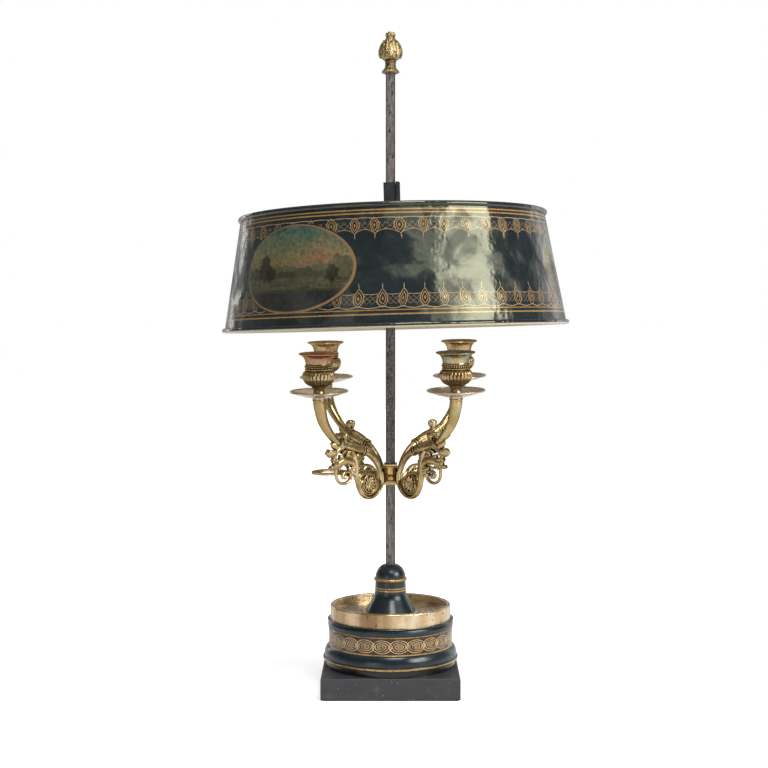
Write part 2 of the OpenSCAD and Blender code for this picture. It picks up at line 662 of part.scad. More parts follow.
// Openwork bracket under an arm: spine, pierced foliage, hook ring and leaf tips
module bracket(place) {
    z = cluster_z;
    leaves = [[49.6, z + 11.4, 5.6], [52, z + 19, 5.6], [57, z + 25.4, 6], [60.5, z + 14.4, 5],
        [66.5, z + 30.6, 5], [73, z + 14.6, 5], [79, z + 22, 4.4], [75, z + 29, 5.4]];
    color("#a88d48") in_cluster() rotate([0, 0, place[0]]) difference() {
        union() {
            sweep([[50.6, z - 3, 2.6, 5], [50.2, z + 4, 3.6, 5.2], [50.4, z + 12, 4.6, 5.6],
                [52.2, z + 20.5, 5, 5.8], [56.4, z + 28.4, 5, 5.8], [63, z + 34.5, 4, 5]], 6);
            sweep([[66, z + 35, 4, 4.6], [73, z + 36.4, 4.4, 4.8], [78.2, z + 32.6, 4.6, 4.8],
                [79.4, z + 26.6, 4.4, 4.6], [77.4, z + 19, 4, 4.4], [71, z + 14.4, 3.4, 4.2],
                [61, z + 12, 3.4, 4.2], [52, z + 9, 3, 4]], 6);
            sweep([[77, z + 20, 3.4, 4], [84, z + 17.2, 3, 4.4], [92, z + 15, 1.2, 2.4]], 6);
            sweep(smooth([[76, z + 19, 3, 3.2], [79, z + 11, 3, 3.2], [76.4, z + 2, 3, 3.2],
                [69.4, z - 1.8, 3, 3.2], [62.6, z + 1.2, 3, 3.2], [60.4, z + 7.6, 3, 3.2],
                [64, z + 12, 2.8, 3.2], [70, z + 11, 2.6, 3.2], [71, z + 7, 2.4, 3]], 2), 6);
            sweep([[74, z + 34, 3.6, 4], [82, z + 36.4, 3, 4], [89, z + 42, 1.2, 2.4]], 6);
            rotate([90, 0, 0]) linear_extrude(2.2, center = true) difference() {
                polygon([[50, z + 6], [50.5, z + 18], [57, z + 30], [66, z + 35], [77, z + 33],
                    [78, z + 19], [70, z + 13], [60, z + 11]]);
                translate([66.5, z + 25.5]) circle(r = 3.6, $fn = 10);
                translate([58.5, z + 19.5]) circle(r = 1.8, $fn = 8);
            }
            for (l = leaves) rotate([90, 0, 0]) hull() {
                translate([l[0], l[1]]) cylinder(d = l[2], h = 5.6, center = true, $fn = 6);
                translate([l[0] + 2.6, l[1] + 3.4]) cylinder(d = l[2] - 2, h = 3.4, center = true, $fn = 4);
            }
        }
        arm_sweep();
    }
}

module drip_pan(place) {
    under = [for (i = [0:8]) let (t = i / 8)
        [horn_ring_d / 2 + t * (pan_r - horn_ring_d / 2), horn_top + 1.2 + pan_depth * pow(t, 1.5)]];
    over = [for (i = [0:8]) let (p = under[8 - i]) [p[0] + (i == 8 ? 0.6 : 0), p[1] + pan_t]];
    color("#9a8d78") in_cluster() rotate([0, 0, place[0]]) translate([place[1], 0, 0])
        rotate_extrude() union() {
            polygon(concat([[horn_tenon_d / 2 + slip, horn_top], [horn_ring_d / 2, horn_top]],
                under, over, [[socket_foot_r + 0.9, socket_z], [horn_tenon_d / 2 + slip, socket_z]]));
            translate([pan_r - 0.2, horn_top + 1.2 + pan_depth + pan_t / 2])
                circle(d = pan_t + 1, $fn = 20);
        }
}

module candle_socket(place) {
    foot_top = socket_z + 0.22 * socket_h;
    bulb_z = socket_z + 0.47 * socket_h;
    bulb_top = socket_z + 0.585 * socket_h;
    band_top = bulb_top + 5.2;
    rim_z = socket_top - 1.5;
    color("#9a7a48") in_cluster() rotate([0, 0, place[0]]) translate([place[1], 0, 0]) difference() {
        rotate_extrude() polygon(concat(
            [[0, socket_z], [socket_foot_r, socket_z], [socket_foot_r, socket_z + 1],
                [socket_foot_r - 0.7, socket_z + 3], [socket_foot_r - 0.5, foot_top - 1.5],
                [socket_foot_r + 0.6, foot_top - 0.8], [socket_foot_r + 0.6, foot_top]],
            arc(bulb_r * 0.3, bulb_z, bulb_r * 0.7, bulb_z - foot_top + 0.4, -80, 0, 7),
            arc(waist_r, bulb_z, bulb_r - waist_r, bulb_top - bulb_z, 12, 82, 5),
            arc(waist_r + 0.3, bulb_top + 2.6, 1, 2.4, -80, 80, 6),
            [[waist_r, band_top]],
            arc(socket_rim_r - 1.6, band_top + 1, socket_rim_r - 1.6 - waist_r, rim_z - band_top - 2.2,
                180, 105, 6),
            [[socket_rim_r - 0.5, rim_z], [socket_rim_r, rim_z + 0.8], [socket_rim_r - 0.3, socket_top],
                [candle_r - 1, socket_top - 1.8], [0, socket_top - 1.8]]));
        translate([0, 0, socket_top - 1.7 - candle_depth]) cylinder(r = candle_r, h = candle_depth + 3);
        translate([0, 0, socket_z - 1])
            cylinder(d = horn_tenon_d + 2 * slip, h = horn_tenon_l - pan_hub_t + 1.3);
    }
}

plinth();
plinth_baize();
drum_shell();
drum_weight();
gallery_ring();
gallery_tray();
stem_socket();
stem();
stem_washer();
stem_nut();
finial_base();
finial_bud();
shade_skin();
shade_top_rim();
shade_bottom_rim();
shade_spider();
shade_sleeve();
shade_wedge();
arm_collar();
lock_key();
arm(front_left);  // arm_front_left
arm(front_right);  // arm_front_right
arm(back_left);  // arm_back_left
arm(back_right);  // arm_back_right
horn(front_left);  // horn_front_left
horn(front_right);  // horn_front_right
horn(back_left);  // horn_back_left
horn(back_right);  // horn_back_right
bracket(front_left);  // bracket_front_left
bracket(front_right);  // bracket_front_right
bracket(back_left);  // bracket_back_left
bracket(back_right);  // bracket_back_right
drip_pan(front_left);  // drip_pan_front_left
drip_pan(front_right);  // drip_pan_front_right
drip_pan(back_left);  // drip_pan_back_left
drip_pan(back_right);  // drip_pan_back_right
candle_socket(front_left);  // candle_socket_front_left
candle_socket(front_right);  // candle_socket_front_right
candle_socket(back_left);  // candle_socket_back_left
candle_socket(back_right);  // candle_socket_back_right
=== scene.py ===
"""Bouillotte lamp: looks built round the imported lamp, in its own frame, in metres."""
import math

import bmesh
import bpy
from mathutils import Matrix, Vector


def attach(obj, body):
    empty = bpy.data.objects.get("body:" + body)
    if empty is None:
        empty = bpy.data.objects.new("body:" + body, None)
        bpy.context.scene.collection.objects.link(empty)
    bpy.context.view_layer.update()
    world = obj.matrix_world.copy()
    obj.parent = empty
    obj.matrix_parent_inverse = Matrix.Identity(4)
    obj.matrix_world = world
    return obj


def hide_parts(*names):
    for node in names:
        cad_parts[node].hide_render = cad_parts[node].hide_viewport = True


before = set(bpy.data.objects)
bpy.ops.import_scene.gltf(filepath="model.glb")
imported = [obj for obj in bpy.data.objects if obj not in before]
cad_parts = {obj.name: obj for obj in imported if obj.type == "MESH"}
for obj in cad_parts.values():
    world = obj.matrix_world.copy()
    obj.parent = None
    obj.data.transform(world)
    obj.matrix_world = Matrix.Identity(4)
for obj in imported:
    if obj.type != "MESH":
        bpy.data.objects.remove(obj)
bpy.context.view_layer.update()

bpy.ops.object.select_all(action="DESELECT")

# ---- plinth
# A square block of ebonised beech, rubbed dull and scuffed along its edges,
# with a pad of green baize glued underneath.


def linear(code):
    """An sRGB colour written in hex, as the linear values that a shader takes."""
    parts = [int(code[i:i + 2], 16) / 255 for i in (1, 3, 5)]
    return [p / 12.92 if p <= 0.04045 else ((p + 0.055) / 1.055) ** 2.4 for p in parts] + [1.0]


def adder(tree):
    """A function that adds nodes to a tree, which it empties first."""
    tree.nodes.clear()

    def add(kind, inputs=(), operation=None, out=0, stops=None, **settings):
        """Add one node with its inputs, settings and ramp stops, and give its output or outputs."""
        node = tree.nodes.new("ShaderNode" + kind)
        if operation:
            node.operation = operation
        for name, value in settings.items():
            setattr(node, name, value)
        for key, value in inputs.items() if isinstance(inputs, dict) else enumerate(inputs):
            socket = node.inputs[key]
            if isinstance(value, bpy.types.NodeSocket):
                tree.links.new(value, socket)
            else:
                socket.default_value = linear(value) if isinstance(value, str) else value
        if stops:
            ramp = node.color_ramp.elements
            while len(ramp) < len(stops):
                ramp.new(0.5)
            for element, (position, value) in zip(ramp, stops):
                element.position = position
                element.color = linear(value) if isinstance(value, str) else [value] * 3 + [1.0]
        return node.outputs[out]

    return add


def new_finish(name):
    """An empty material, its adder, and the place on the piece in millimetres."""
    mat = bpy.data.materials.new(name)
    mat.use_nodes = True
    add = adder(mat.node_tree)
    place = add("TexCoord", out=3)
    return mat, add, add("VectorMath", {0: place, "Scale": 1000}, "SCALE")


def surface(shader):
    """End a finish with its shader."""
    tree = shader.id_data
    tree.links.new(shader, tree.nodes.new("ShaderNodeOutputMaterial").inputs["Surface"])


def dress(mat, *names):
    """Give CAD nodes a finish."""
    for name in names:
        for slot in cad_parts[name].material_slots:
            slot.material = mat


# Ebonised beech: near black and dull, with grain lines about 1 mm apart, pale
# scuffs about 9 mm long and specks of dust about 2 mm across
ebony, add, mm = new_finish("ebonised_beech")
stretched = add("Mapping", {"Vector": mm, "Scale": (0.04, 1, 1)})
grain = add("TexNoise", {"Vector": stretched, "Scale": 0.9, "Detail": 5, "Roughness": 0.65})
scuff = add("TexNoise", {"Vector": mm, "Scale": 0.11, "Detail": 7, "Roughness": 0.72})
speck = add("TexNoise", {"Vector": mm, "Scale": 0.42})
colour = add("ValToRGB", [grain], stops=[(0.3, "#282729"), (0.7, "#39383c")])
pale = add("ValToRGB", [scuff], stops=[(0.56, 0.0), (0.74, 0.5)])
dust = add("ValToRGB", [speck], stops=[(0.735, 0.0), (0.76, 0.75)])
for mask, coat in ((pale, "#5b5856"), (dust, "#a3a09c")):
    colour = add("Mix", {0: mask, 6: colour, 7: coat}, out=2, data_type="RGBA")
rough = add("MapRange", [scuff, 0.35, 0.7, 0.38, 0.6])
relief = add("Bump", {"Strength": 0.25, "Distance": 0.0004, "Height": grain})
surface(add("BsdfPrincipled", {
    "Base Color": colour, "Roughness": rough, "Normal": relief, "Specular IOR Level": 0.45}))
dress(ebony, "plinth")

# Wool baize: matt, with short fibres, drawn coarse enough to show
baize, add, mm = new_finish("wool_baize")
fibre = add("TexNoise", {"Vector": mm, "Scale": 2.5, "Detail": 6, "Roughness": 0.8})
colour = add("ValToRGB", [fibre], stops=[(0.3, "#252f22"), (0.7, "#3d4a38")])
relief = add("Bump", {"Strength": 0.8, "Distance": 0.0003, "Height": fibre})
surface(add("BsdfPrincipled", {
    "Base Color": colour, "Roughness": 0.95, "Normal": relief, "Sheen Weight": 0.4}))
dress(baize, "plinth_baize")

# ---- drum and spool
# Sheet metal spun to shape, japanned dark green, with gilt lines and a painted
# band of overlapping ovals; the spool on top is japanned and gilt like the drum.

ovals = 23  # ovals round the band
oval_turn = 7.8  # degrees from the front to the middle of one oval
band_z = 56.6  # height of the band's middle, in millimetres
band_r = 69.2  # radius of the band, in millimetres
band_half = 8.6  # half its height


def turn_from_front(x, y):
    """The turn round the upright axis from the lamp's front, in radians."""
    return add("Math", [x, add("Math", [y, -1.0], "MULTIPLY")], "ARCTAN2")


def distance(across, up):
    """The distance that two measures at right angles make."""
    return add("VectorMath", [add("CombineXYZ", [across, up])], "LENGTH", out=1)


def oval(across, up, half_w, half_h):
    """The distance from the middle of an oval, with 1 on its edge."""
    return distance(add("Math", [across, half_w], "DIVIDE"), add("Math", [up, half_h], "DIVIDE"))


def level_lines(height, start, end, lines):
    """1 on level lines, each given by its lower and upper edge, and 0 elsewhere."""
    stops = [(0.0, 0.0)]
    for low, high in lines:
        stops += [((low - start) / (end - start), 1.0), ((high - start) / (end - start), 0.0)]
    line = add("ValToRGB", [add("MapRange", [height, start, end])], stops=stops)
    line.node.color_ramp.interpolation = "CONSTANT"
    return line


# Japanned sheet: deep glossy green black; the gold leaf is rubbed through in
# patches about 6 mm across, and the band has a dark brown ground
japan, add, mm = new_finish("green_japan_with_gilt")
x, y, z = add("SeparateXYZ", [mm], out=slice(3))
step = 2 * math.pi / ovals
turn = add("Math", [turn_from_front(x, y), math.radians(oval_turn)], "ADD")
near = add("Math", [turn, step / 2], "PINGPONG")
near = add("Math", [near, band_r], "MULTIPLY")
far = add("Math", [step * band_r, near], "SUBTRACT")
up = add("Math", [z, band_z], "SUBTRACT")
stops = [(0.0, 0.0)]
for start, end in ((0.36, 0.44), (0.61, 0.695), (0.885, 0.98)):
    stops += [(start, 0.0), (start + 0.01, 1.0), (end - 0.01, 1.0), (end, 0.0)]
chain = [add("ValToRGB", [oval(across, up, 11.2, 7.4)], stops=stops) for across in (near, far)]
chain = add("Math", chain, "MAXIMUM")
strokes = add("Math", [add("Math", [near, 0.75], "PINGPONG"), 0.48], "GREATER_THAN")
seed = add("Math", [oval(near, up, 3.4, 2.3), 1.0], "LESS_THAN")
strokes = add("Math", [strokes, seed], "MULTIPLY")
chain = add("Math", [chain, strokes], "MAXIMUM")
band = add("Math", [up, 0.0, band_half], "COMPARE")
chain = add("Math", [chain, band], "MULTIPLY")
lines = level_lines(z, 20.0, 130.0, (
    (31.4, 33.6), (46.3, 47.7), (65.2, 66.7), (106.2, 107.4), (108.9, 110.0), (116.9, 120.5)))
worn = add("TexNoise", {"Vector": mm, "Scale": 0.16, "Detail": 6, "Roughness": 0.7})
worn = add("ValToRGB", [worn], stops=[(0.5, 1.0), (0.64, 0.25)])
gilt = add("Math", [add("Math", [lines, chain], "MAXIMUM"), worn], "MULTIPLY")
cloud = add("TexNoise", {"Vector": mm, "Scale": 0.05, "Detail": 4, "Roughness": 0.6})
colour = add("ValToRGB", [cloud], stops=[(0.3, "#0d181b"), (0.7, "#142428")])
foot = add("Math", [z, 30.8], "LESS_THAN")
gold = add("Mix", {0: band, 6: "#b08c52", 7: "#d0af7a"}, out=2, data_type="RGBA")
for mask, coat in ((band, "#291b0f"), (foot, "#090d0e"), (gilt, gold)):
    colour = add("Mix", {0: mask, 6: colour, 7: coat}, out=2, data_type="RGBA")
metal = add("Math", [gilt, 0.55], "MULTIPLY")
rough = add("MapRange", [cloud, 0.3, 0.7, 0.18, 0.34])
relief = add("Bump", {"Strength": 0.12, "Distance": 0.0015, "Height": cloud})
surface(add("BsdfPrincipled", {
    "Base Color": colour, "Roughness": rough, "Metallic": metal, "Normal": relief,
    "Specular IOR Level": 0.4, "Coat Weight": 0.12, "Coat Roughness": 0.1}))
dress(japan, "drum_shell", "stem_socket")

# Cast iron weight, out of sight in the drum: dull, with a sandy skin
iron, add, mm = new_finish("cast_iron")
sand = add("TexNoise", {"Vector": mm, "Scale": 0.7, "Detail": 6, "Roughness": 0.7})
colour = add("ValToRGB", [sand], stops=[(0.3, "#2c2c2e"), (0.7, "#484746")])
relief = add("Bump", {"Strength": 0.6, "Distance": 0.0006, "Height": sand})
surface(add("BsdfPrincipled", {"Base Color": colour, "Roughness": 0.75, "Normal": relief}))
dress(iron, "drum_weight")

# ---- gallery
# Ring and tray of spun brass, polished long ago, now spotted and a little dented.
# The ring sleeves the drum's neck, and the tray lies in it round the spool.

gallery_in_r = 63.0  # inner face of the gallery, in millimetres
groove_pitch = 6.6  # from one turned groove in the tray to the next

# Spun brass: warm and bright, in soft upright clouds about 30 mm wide, with fine lathe lines
# and spots about 3 mm across; painted shade in the grooves and under the rim, and a pale painted
# reflection on the inner face of the ring
brass, add, mm = new_finish("spun_brass")
tall = add("Mapping", {"Vector": mm, "Scale": (1, 1, 0.2)})
cloud = add("TexNoise", {"Vector": tall, "Scale": 0.03, "Detail": 3, "Roughness": 0.55})
flat = add("Mapping", {"Vector": mm, "Scale": (0.1, 0.1, 2.0)})
lathe = add("TexNoise", {"Vector": flat, "Scale": 0.8, "Detail": 4, "Roughness": 0.6})
spot = add("TexNoise", {"Vector": mm, "Scale": 0.3, "Roughness": 0.4})
dent = add("TexNoise", {"Vector": mm, "Scale": 0.09})
colour = add("ValToRGB", [cloud], stops=[(0.38, "#866b4f"), (0.5, "#b79c74"), (0.64, "#dccbad")])
tone = add("ValToRGB", [lathe], stops=[(0.35, 0.0), (0.75, 0.35)])
stain = add("ValToRGB", [spot], stops=[(0.67, 0.0), (0.71, 0.9)])
r = distance(*add("SeparateXYZ", [mm], out=slice(2)))
groove = add("Math", [r, groove_pitch / 2], "PINGPONG")
groove = add("ValToRGB", [groove], stops=[(0.35, 1.0), (0.95, 0.0)])
tray = add("Math", [r, gallery_in_r - 0.7], "LESS_THAN")
groove = add("Math", [groove, tray], "MULTIPLY")
# painted shade in the tray's grooves and under the rim, and a pale painted reflection on the inner face
shadow = add("Math", [groove, 0.8], "MULTIPLY")
painted_wall_reflection = add("Math", [add("Math", [r, gallery_in_r, 0.5], "COMPARE"), 0.6], "MULTIPLY")
under_rim_shade = add("Math", [add("Math", [r, gallery_in_r + 2.1, 0.4], "COMPARE"), 0.8], "MULTIPLY")
for mask, coat in ((tone, "#8a6a3a"), (shadow, "#5d4429"), (painted_wall_reflection, "#ecd9b6"), (under_rim_shade, "#4a351f"),
                   (stain, "#3b2a17")):
    colour = add("Mix", {0: mask, 6: colour, 7: coat}, out=2, data_type="RGBA")
rough = add("MapRange", [cloud, 0.3, 0.7, 0.34, 0.2])
relief = add("Bump", {"Strength": 0.3, "Distance": 0.0035, "Height": dent})
relief = add("Bump", {"Strength": 0.1, "Distance": 0.0005, "Height": lathe, "Normal": relief})
relief = add("Bump", {"Strength": 0.6, "Distance": 0.0005, "Height": groove, "Normal": relief}, invert=True)
surface(add("BsdfPrincipled", {"Base Color": colour, "Metallic": 0.8, "Roughness": rough, "Normal": relief}))
dress(brass, "gallery_ring", "gallery_tray")

# ---- stem
# Square bar of bright steel gone grey brown and pitted, drawn lengthwise. Its foot
# goes down through the drum to a washer and nut under the plinth.

stem_low, stem_high = 130.0, 690.0  # the length of it that shows, in millimetres

# Pitted steel: upright streaks about 1 mm wide, fine pits, dark scabs of rust about
# 3 mm across, and painted shade along the corners; the pits are darker at mid height
steel, add, mm = new_finish("pitted_steel")
stretched = add("Mapping", {"Vector": mm, "Scale": (1, 1, 0.06)})
streak = add("TexNoise", {"Vector": stretched, "Scale": 0.9, "Detail": 5, "Roughness": 0.7})
pit = add("TexNoise", {"Vector": mm, "Scale": 0.85, "Detail": 5, "Roughness": 0.75})
squeezed = add("Mapping", {"Vector": mm, "Scale": (1, 1, 0.4)})
scab = add("TexNoise", {"Vector": squeezed, "Scale": 0.36, "Detail": 4, "Roughness": 0.65})
scab = add("ValToRGB", [scab], stops=[(0.39, 0.9), (0.46, 0.0)])
up = add("MapRange", [add("SeparateXYZ", [mm], out=2), stem_low, stem_high])
darker_mid_height = add("ValToRGB", [up], stops=[(0.17, 0.35), (0.22, 0.85), (0.5, 0.8), (0.75, 0.45)])
dark = add("ValToRGB", [pit], stops=[(0.44, 0.95), (0.6, 0.0)])
dark = add("Math", [dark, darker_mid_height], "MULTIPLY")
# painted shade along the bar's corners
from_axis = add("VectorMath", [mm], "ABSOLUTE")
corner = add("Math", add("SeparateXYZ", [from_axis], out=slice(2)), "MINIMUM")
corner = add("Math", [streak, 1.6, corner], "MULTIPLY_ADD")
corner = add("MapRange", [corner, 4.3, 5.4, 0.0, 0.95])
for mask in (scab, corner):
    dark = add("Math", [dark, mask], "MAXIMUM")
colour = add("ValToRGB", [streak], stops=[(0.34, "#524d49"), (0.5, "#7b7672"), (0.66, "#a09893")])
colour = add("Mix", {0: dark, 6: colour, 7: "#292525"}, out=2, data_type="RGBA")
rough = add("MapRange", [pit, 0.35, 0.65, 0.62, 0.4])
relief = add("Bump", {"Strength": 0.5, "Distance": 0.0004, "Height": pit})
surface(add("BsdfPrincipled", {"Base Color": colour, "Metallic": 0.85, "Roughness": rough, "Normal": relief}))
dress(steel, "stem", "stem_washer", "stem_nut")

# ---- shade
# A cone of tinplate with wired edges, japanned dark green outside and cream
# inside, with gilt borders, painted ovals and a glossy varnish.

shade_at = (0.0024, 0.0, 0.5205)  # the point about which the shade leans, in metres
shade_lean = math.radians(1.6)
pivot_h = 118.0  # that point above the shade's bottom edge, in millimetres
skin_h, skin_low_r, skin_top_r = 122.0, 190.4, 169.4  # the sheet, at mid thickness
picture_turn = 35.2  # degrees from the front to the middle of a picture
picture_h = 60.2  # height of its middle above the bottom edge
picture_r = 181.0  # radius of the shade at that height
picture_size = (70.5, 44.0)  # half its width and height

# Varnished japan on tinplate: mirror-like where the varnish is whole and clouded
# in blotches about 30 mm across, over faint waves in the sheet about 60 mm long
tole, add, mm = new_finish("painted_tinplate")
own = add("TexCoord", out=3)
own = add("Mapping", {"Vector": own, "Location": shade_at, "Rotation": (0, -shade_lean, 0)},
          vector_type="TEXTURE")
own = add("VectorMath", {0: own, "Scale": 1000}, "SCALE")
x, y, z = add("SeparateXYZ", [own], out=slice(3))
h = add("Math", [z, pivot_h], "ADD")
r = distance(x, y)
turn = turn_from_front(x, y)
hand = add("TexNoise", {"Vector": mm, "Scale": 0.035, "Detail": 1})
hand = add("MapRange", [hand, 0.3, 0.7, -0.012, 0.012])
hand_turn = add("Math", [turn, hand], "ADD")


def border(repeats, phase, base, way, long, swag, arc, lattice):
    """A painted border of almonds joined by arcs and lattice. Its base line is at height
    base, and it grows towards the shade's middle along way. Gives a gilt and a pale mask."""
    step = 2 * math.pi / repeats
    u = add("Math", [hand_turn, -math.radians(phase)], "ADD")
    u = add("Math", [u, step / 2], "PINGPONG")
    belly = add("Math", [add("Math", [u, math.pi / step], "MULTIPLY")], "SINE")
    u = add("Math", [u, r], "MULTIPLY")
    w = add("Math", [add("Math", [h, -base], "ADD"), way], "MULTIPLY")

    def almond(start, end, half, line):
        """1 on a line round an almond, or all over it if the line is 0."""
        t = add("MapRange", [w, start, end])
        t = add("Math", [add("Math", [t, 0.86], "POWER"), math.pi], "MULTIPLY")
        side = add("Math", [add("Math", [t], "SINE"), 0.85], "POWER")
        side = add("Math", [side, half], "MULTIPLY")
        off = add("Math", [u, side], "SUBTRACT")
        if not line:
            return add("Math", [off, -0.1], "LESS_THAN")
        off = add("Math", [off], "ABSOLUTE")
        by_line = add("Math", [off, line / 2], "LESS_THAN")
        within = add("Math", [w, (start + end) / 2, (end - start) / 2 + line / 2], "COMPARE")
        return add("Math", [by_line, within], "MULTIPLY")

    def curved(level, dip):
        """1 on a line that runs along the border and dips between the almonds."""
        at = add("Math", [belly, dip, level], "MULTIPLY_ADD")
        return add("Math", [w, at, 0.4], "COMPARE")

    mesh = [add("Math", [add("Math", [u, w], slant), 2.75], "PINGPONG") for slant in ("ADD", "SUBTRACT")]
    mesh = add("Math", [add("Math", mesh, "MINIMUM"), 0.33], "LESS_THAN")
    field = add("Math", [w, (lattice[0] + lattice[1]) / 2, (lattice[1] - lattice[0]) / 2], "COMPARE")
    mesh = add("Math", [add("Math", [mesh, field], "MULTIPLY"), 0.5], "MULTIPLY")
    festoon = add("Math", [curved(*swag), 0.75], "MULTIPLY")
    pale = add("Math", [mesh, festoon], "MAXIMUM")
    clear = add("Math", [1.0, almond(0.0, long, 5.5, 0)], "SUBTRACT")
    pale = add("Math", [pale, clear], "MULTIPLY")
    outer = almond(0.0, long, 4.9, 0.85)
    drop = almond(long - 0.5, 1.37 * long, 0.55, 0)
    for mask in (curved(*arc), outer, drop):
        pale = add("Math", [pale, mask], "MAXIMUM")
    inner = almond(0.17 * long, 0.8 * long, 2.9, 1.0)
    seed = almond(0.36 * long, 0.6 * long, 1.0, 0)
    return add("Math", [inner, seed], "MAXIMUM"), pale


rich_top, pale_top = border(47, 2.0, 108.6, -1.0, 16.5, (16.0, -4.0), (1.0, -0.9), (4.2, 11.8))
rich_low, pale_low = border(54, 2.1, 18.2, 1.0, 18.2, (13.9, -1.4), (0.9, -2.2), (2.8, 11.6))
rich = add("Math", [rich_top, rich_low], "MAXIMUM")
pale = add("Math", [pale_top, pale_low], "MAXIMUM")

# Three painted ovals, each in a gilt ring that is broader on one side
own_turn = add("Math", [turn, math.radians(picture_turn + 60)], "ADD")
own_turn = add("Math", [own_turn, math.radians(120)], "FLOORED_MODULO")
own_turn = add("Math", [own_turn, -math.radians(60)], "ADD")
across = add("Math", [own_turn, picture_r], "MULTIPLY")
along = add("Math", [h, -picture_h], "ADD")
ring_edge, picture_edge = [
    oval(add("Math", [across, off_x], "ADD"), add("Math", [along, off_z], "ADD"), half_w, half_h)
    for off_x, off_z, half_w, half_h in ((0.0, 0.0, 72.7, 45.8), (1.0, -0.5, *picture_size))]
in_ring = add("Math", [ring_edge, 1.0], "LESS_THAN")
in_picture = add("Math", [picture_edge, 1.0], "LESS_THAN")
gilt_ring = add("Math", [in_ring, in_picture], "SUBTRACT", use_clamp=True)
outside = add("Math", [ring_edge, 1.025], "GREATER_THAN")

# A dusky lake between wooded hills, painted thinly and darkened by its varnish
canvas = add("CombineXYZ", [across, along, own_turn])
level = add("MapRange", [along, -picture_size[1], picture_size[1]])
picture = add("ValToRGB", [level], stops=[
    (0.0, "#1d1b1c"), (0.28, "#292622"), (0.4, "#4b4538"), (0.5, "#715e44"), (0.62, "#756a45"),
    (0.76, "#5d654b"), (0.9, "#425d50"), (1.0, "#344f4c")])
wide = add("Mapping", {"Vector": canvas, "Scale": (0.35, 1, 1)})
haze = add("TexNoise", {"Vector": wide, "Scale": 0.11, "Detail": 5, "Roughness": 0.62})
bright = add("ValToRGB", [haze], stops=[(0.45, 0.0), (0.72, 0.5)])
sky = add("MapRange", [along, 2.0, 12.0])
bright = add("Math", [bright, sky], "MULTIPLY")
glow = add("VectorMath", [canvas, (34.0, 6.0, 0.0)], "SUBTRACT")
glow = add("MapRange", [add("VectorMath", [glow], "LENGTH", out=1), 4.0, 30.0, 0.75, 0.0])
coats = [(bright, "#8f8058"), (glow, "#80583e")]
skyline = add("CombineXYZ", [across, 0.0, own_turn])
hill = add("TexNoise", {"Vector": skyline, "Scale": 0.028, "Detail": 3})
leafy = add("TexNoise", {"Vector": canvas, "Scale": 0.22, "Detail": 5, "Roughness": 0.7})
for rise, depth, coat in ((70.0, -34.0, "#54503a"), (-62.0, 26.0, "#3b3827")):
    top = add("Math", [hill, rise, depth], "MULTIPLY_ADD")
    top = add("Math", [leafy, 5.0, top], "MULTIPLY_ADD")
    coats.append((add("Math", [along, top], "LESS_THAN"), coat))
water = add("Math", [along, -15.0, 6.0], "COMPARE")
ripple = add("Mapping", {"Vector": canvas, "Scale": (0.08, 1.2, 1)})
ripple = add("TexNoise", {"Vector": ripple, "Scale": 0.5})
ripple = add("ValToRGB", [ripple], stops=[(0.42, 0.15), (0.6, 0.9)])
coats.append((add("Math", [water, ripple], "MULTIPLY"), "#56523f"))
for tree_x, tree_z, half_w, half_h in (
        (-41.0, 2.0, 10.0, 15.0), (-30.0, -4.0, 7.0, 9.0), (47.0, -6.0, 8.0, 9.0)):
    clump = add("VectorMath", [canvas, (tree_x, tree_z, 0.0)], "SUBTRACT")
    clump = add("VectorMath", [clump, (1 / half_w, 1 / half_h, 0.0)], "MULTIPLY")
    clump = add("VectorMath", [clump], "LENGTH", out=1)
    clump = add("Math", [leafy, 1.1, clump], "MULTIPLY_ADD")
    coats.append((add("MapRange", [clump, 1.35, 1.6, 0.9, 0.0]), "#211f16"))
bank = add("Math", [leafy, 9.0, -28.0], "MULTIPLY_ADD")
coats.append((add("Math", [along, bank], "LESS_THAN"), "#25252a"))
for mask, coat in coats:
    picture = add("Mix", {0: mask, 6: picture, 7: coat}, out=2, data_type="RGBA")
rubbed = add("ValToRGB", [leafy], stops=[(0.3, "#9c9c9c"), (0.65, "#ffffff")])
picture = add("Mix", {0: 1.0, 6: picture, 7: rubbed}, out=2, data_type="RGBA", blend_type="MULTIPLY")

# Gilt lines near both edges, and all the gilding rubbed through in patches
lines = level_lines(h, 0.0, 125.0, ((10.1, 11.4), (14.2, 15.5), (112.0, 113.3), (115.7, 117.0)))
worn = add("TexNoise", {"Vector": mm, "Scale": 0.3, "Detail": 6, "Roughness": 0.75})
kept = add("ValToRGB", [worn], stops=[(0.5, 1.0), (0.7, 0.35)])
rich = add("Math", [rich, outside], "MULTIPLY")
rich = add("Math", [add("Math", [rich, lines], "MAXIMUM"), kept], "MULTIPLY")
pale = add("Math", [add("Math", [pale, outside], "MULTIPLY"), kept], "MULTIPLY")
skin_r = add("MapRange", [h, 0.0, skin_h, skin_low_r, skin_top_r])
inside = add("Math", [r, skin_r], "LESS_THAN")
lip = add("Math", [h, -0.9], "LESS_THAN")
inside = add("Math", [inside, lip], "MAXIMUM")
cloud = add("TexNoise", {"Vector": mm, "Scale": 0.02, "Detail": 4, "Roughness": 0.55})
colour = add("ValToRGB", [cloud], stops=[(0.3, "#0e161b"), (0.7, "#152026")])
for mask, coat in ((pale, "#957b58"), (rich, "#957242"), (in_picture, picture), (gilt_ring, "#775d40"),
                   (inside, "#b9ab92")):
    colour = add("Mix", {0: mask, 6: colour, 7: coat}, out=2, data_type="RGBA")
metal = add("Math", [rich, 0.12], "MULTIPLY")
blotch = add("TexNoise", {
    "Vector": mm, "Scale": 0.03, "Detail": 3, "Roughness": 0.45, "Distortion": 0.6})
rough = add("ValToRGB", [blotch], stops=[(0.41, 0.2), (0.53, 0.28), (0.62, 0.5)])
sheet = add("Math", [h, skin_h / 2, skin_h / 2 - 2.6], "COMPARE")
rough = add("Mix", {0: sheet, 2: 0.14, 3: rough})
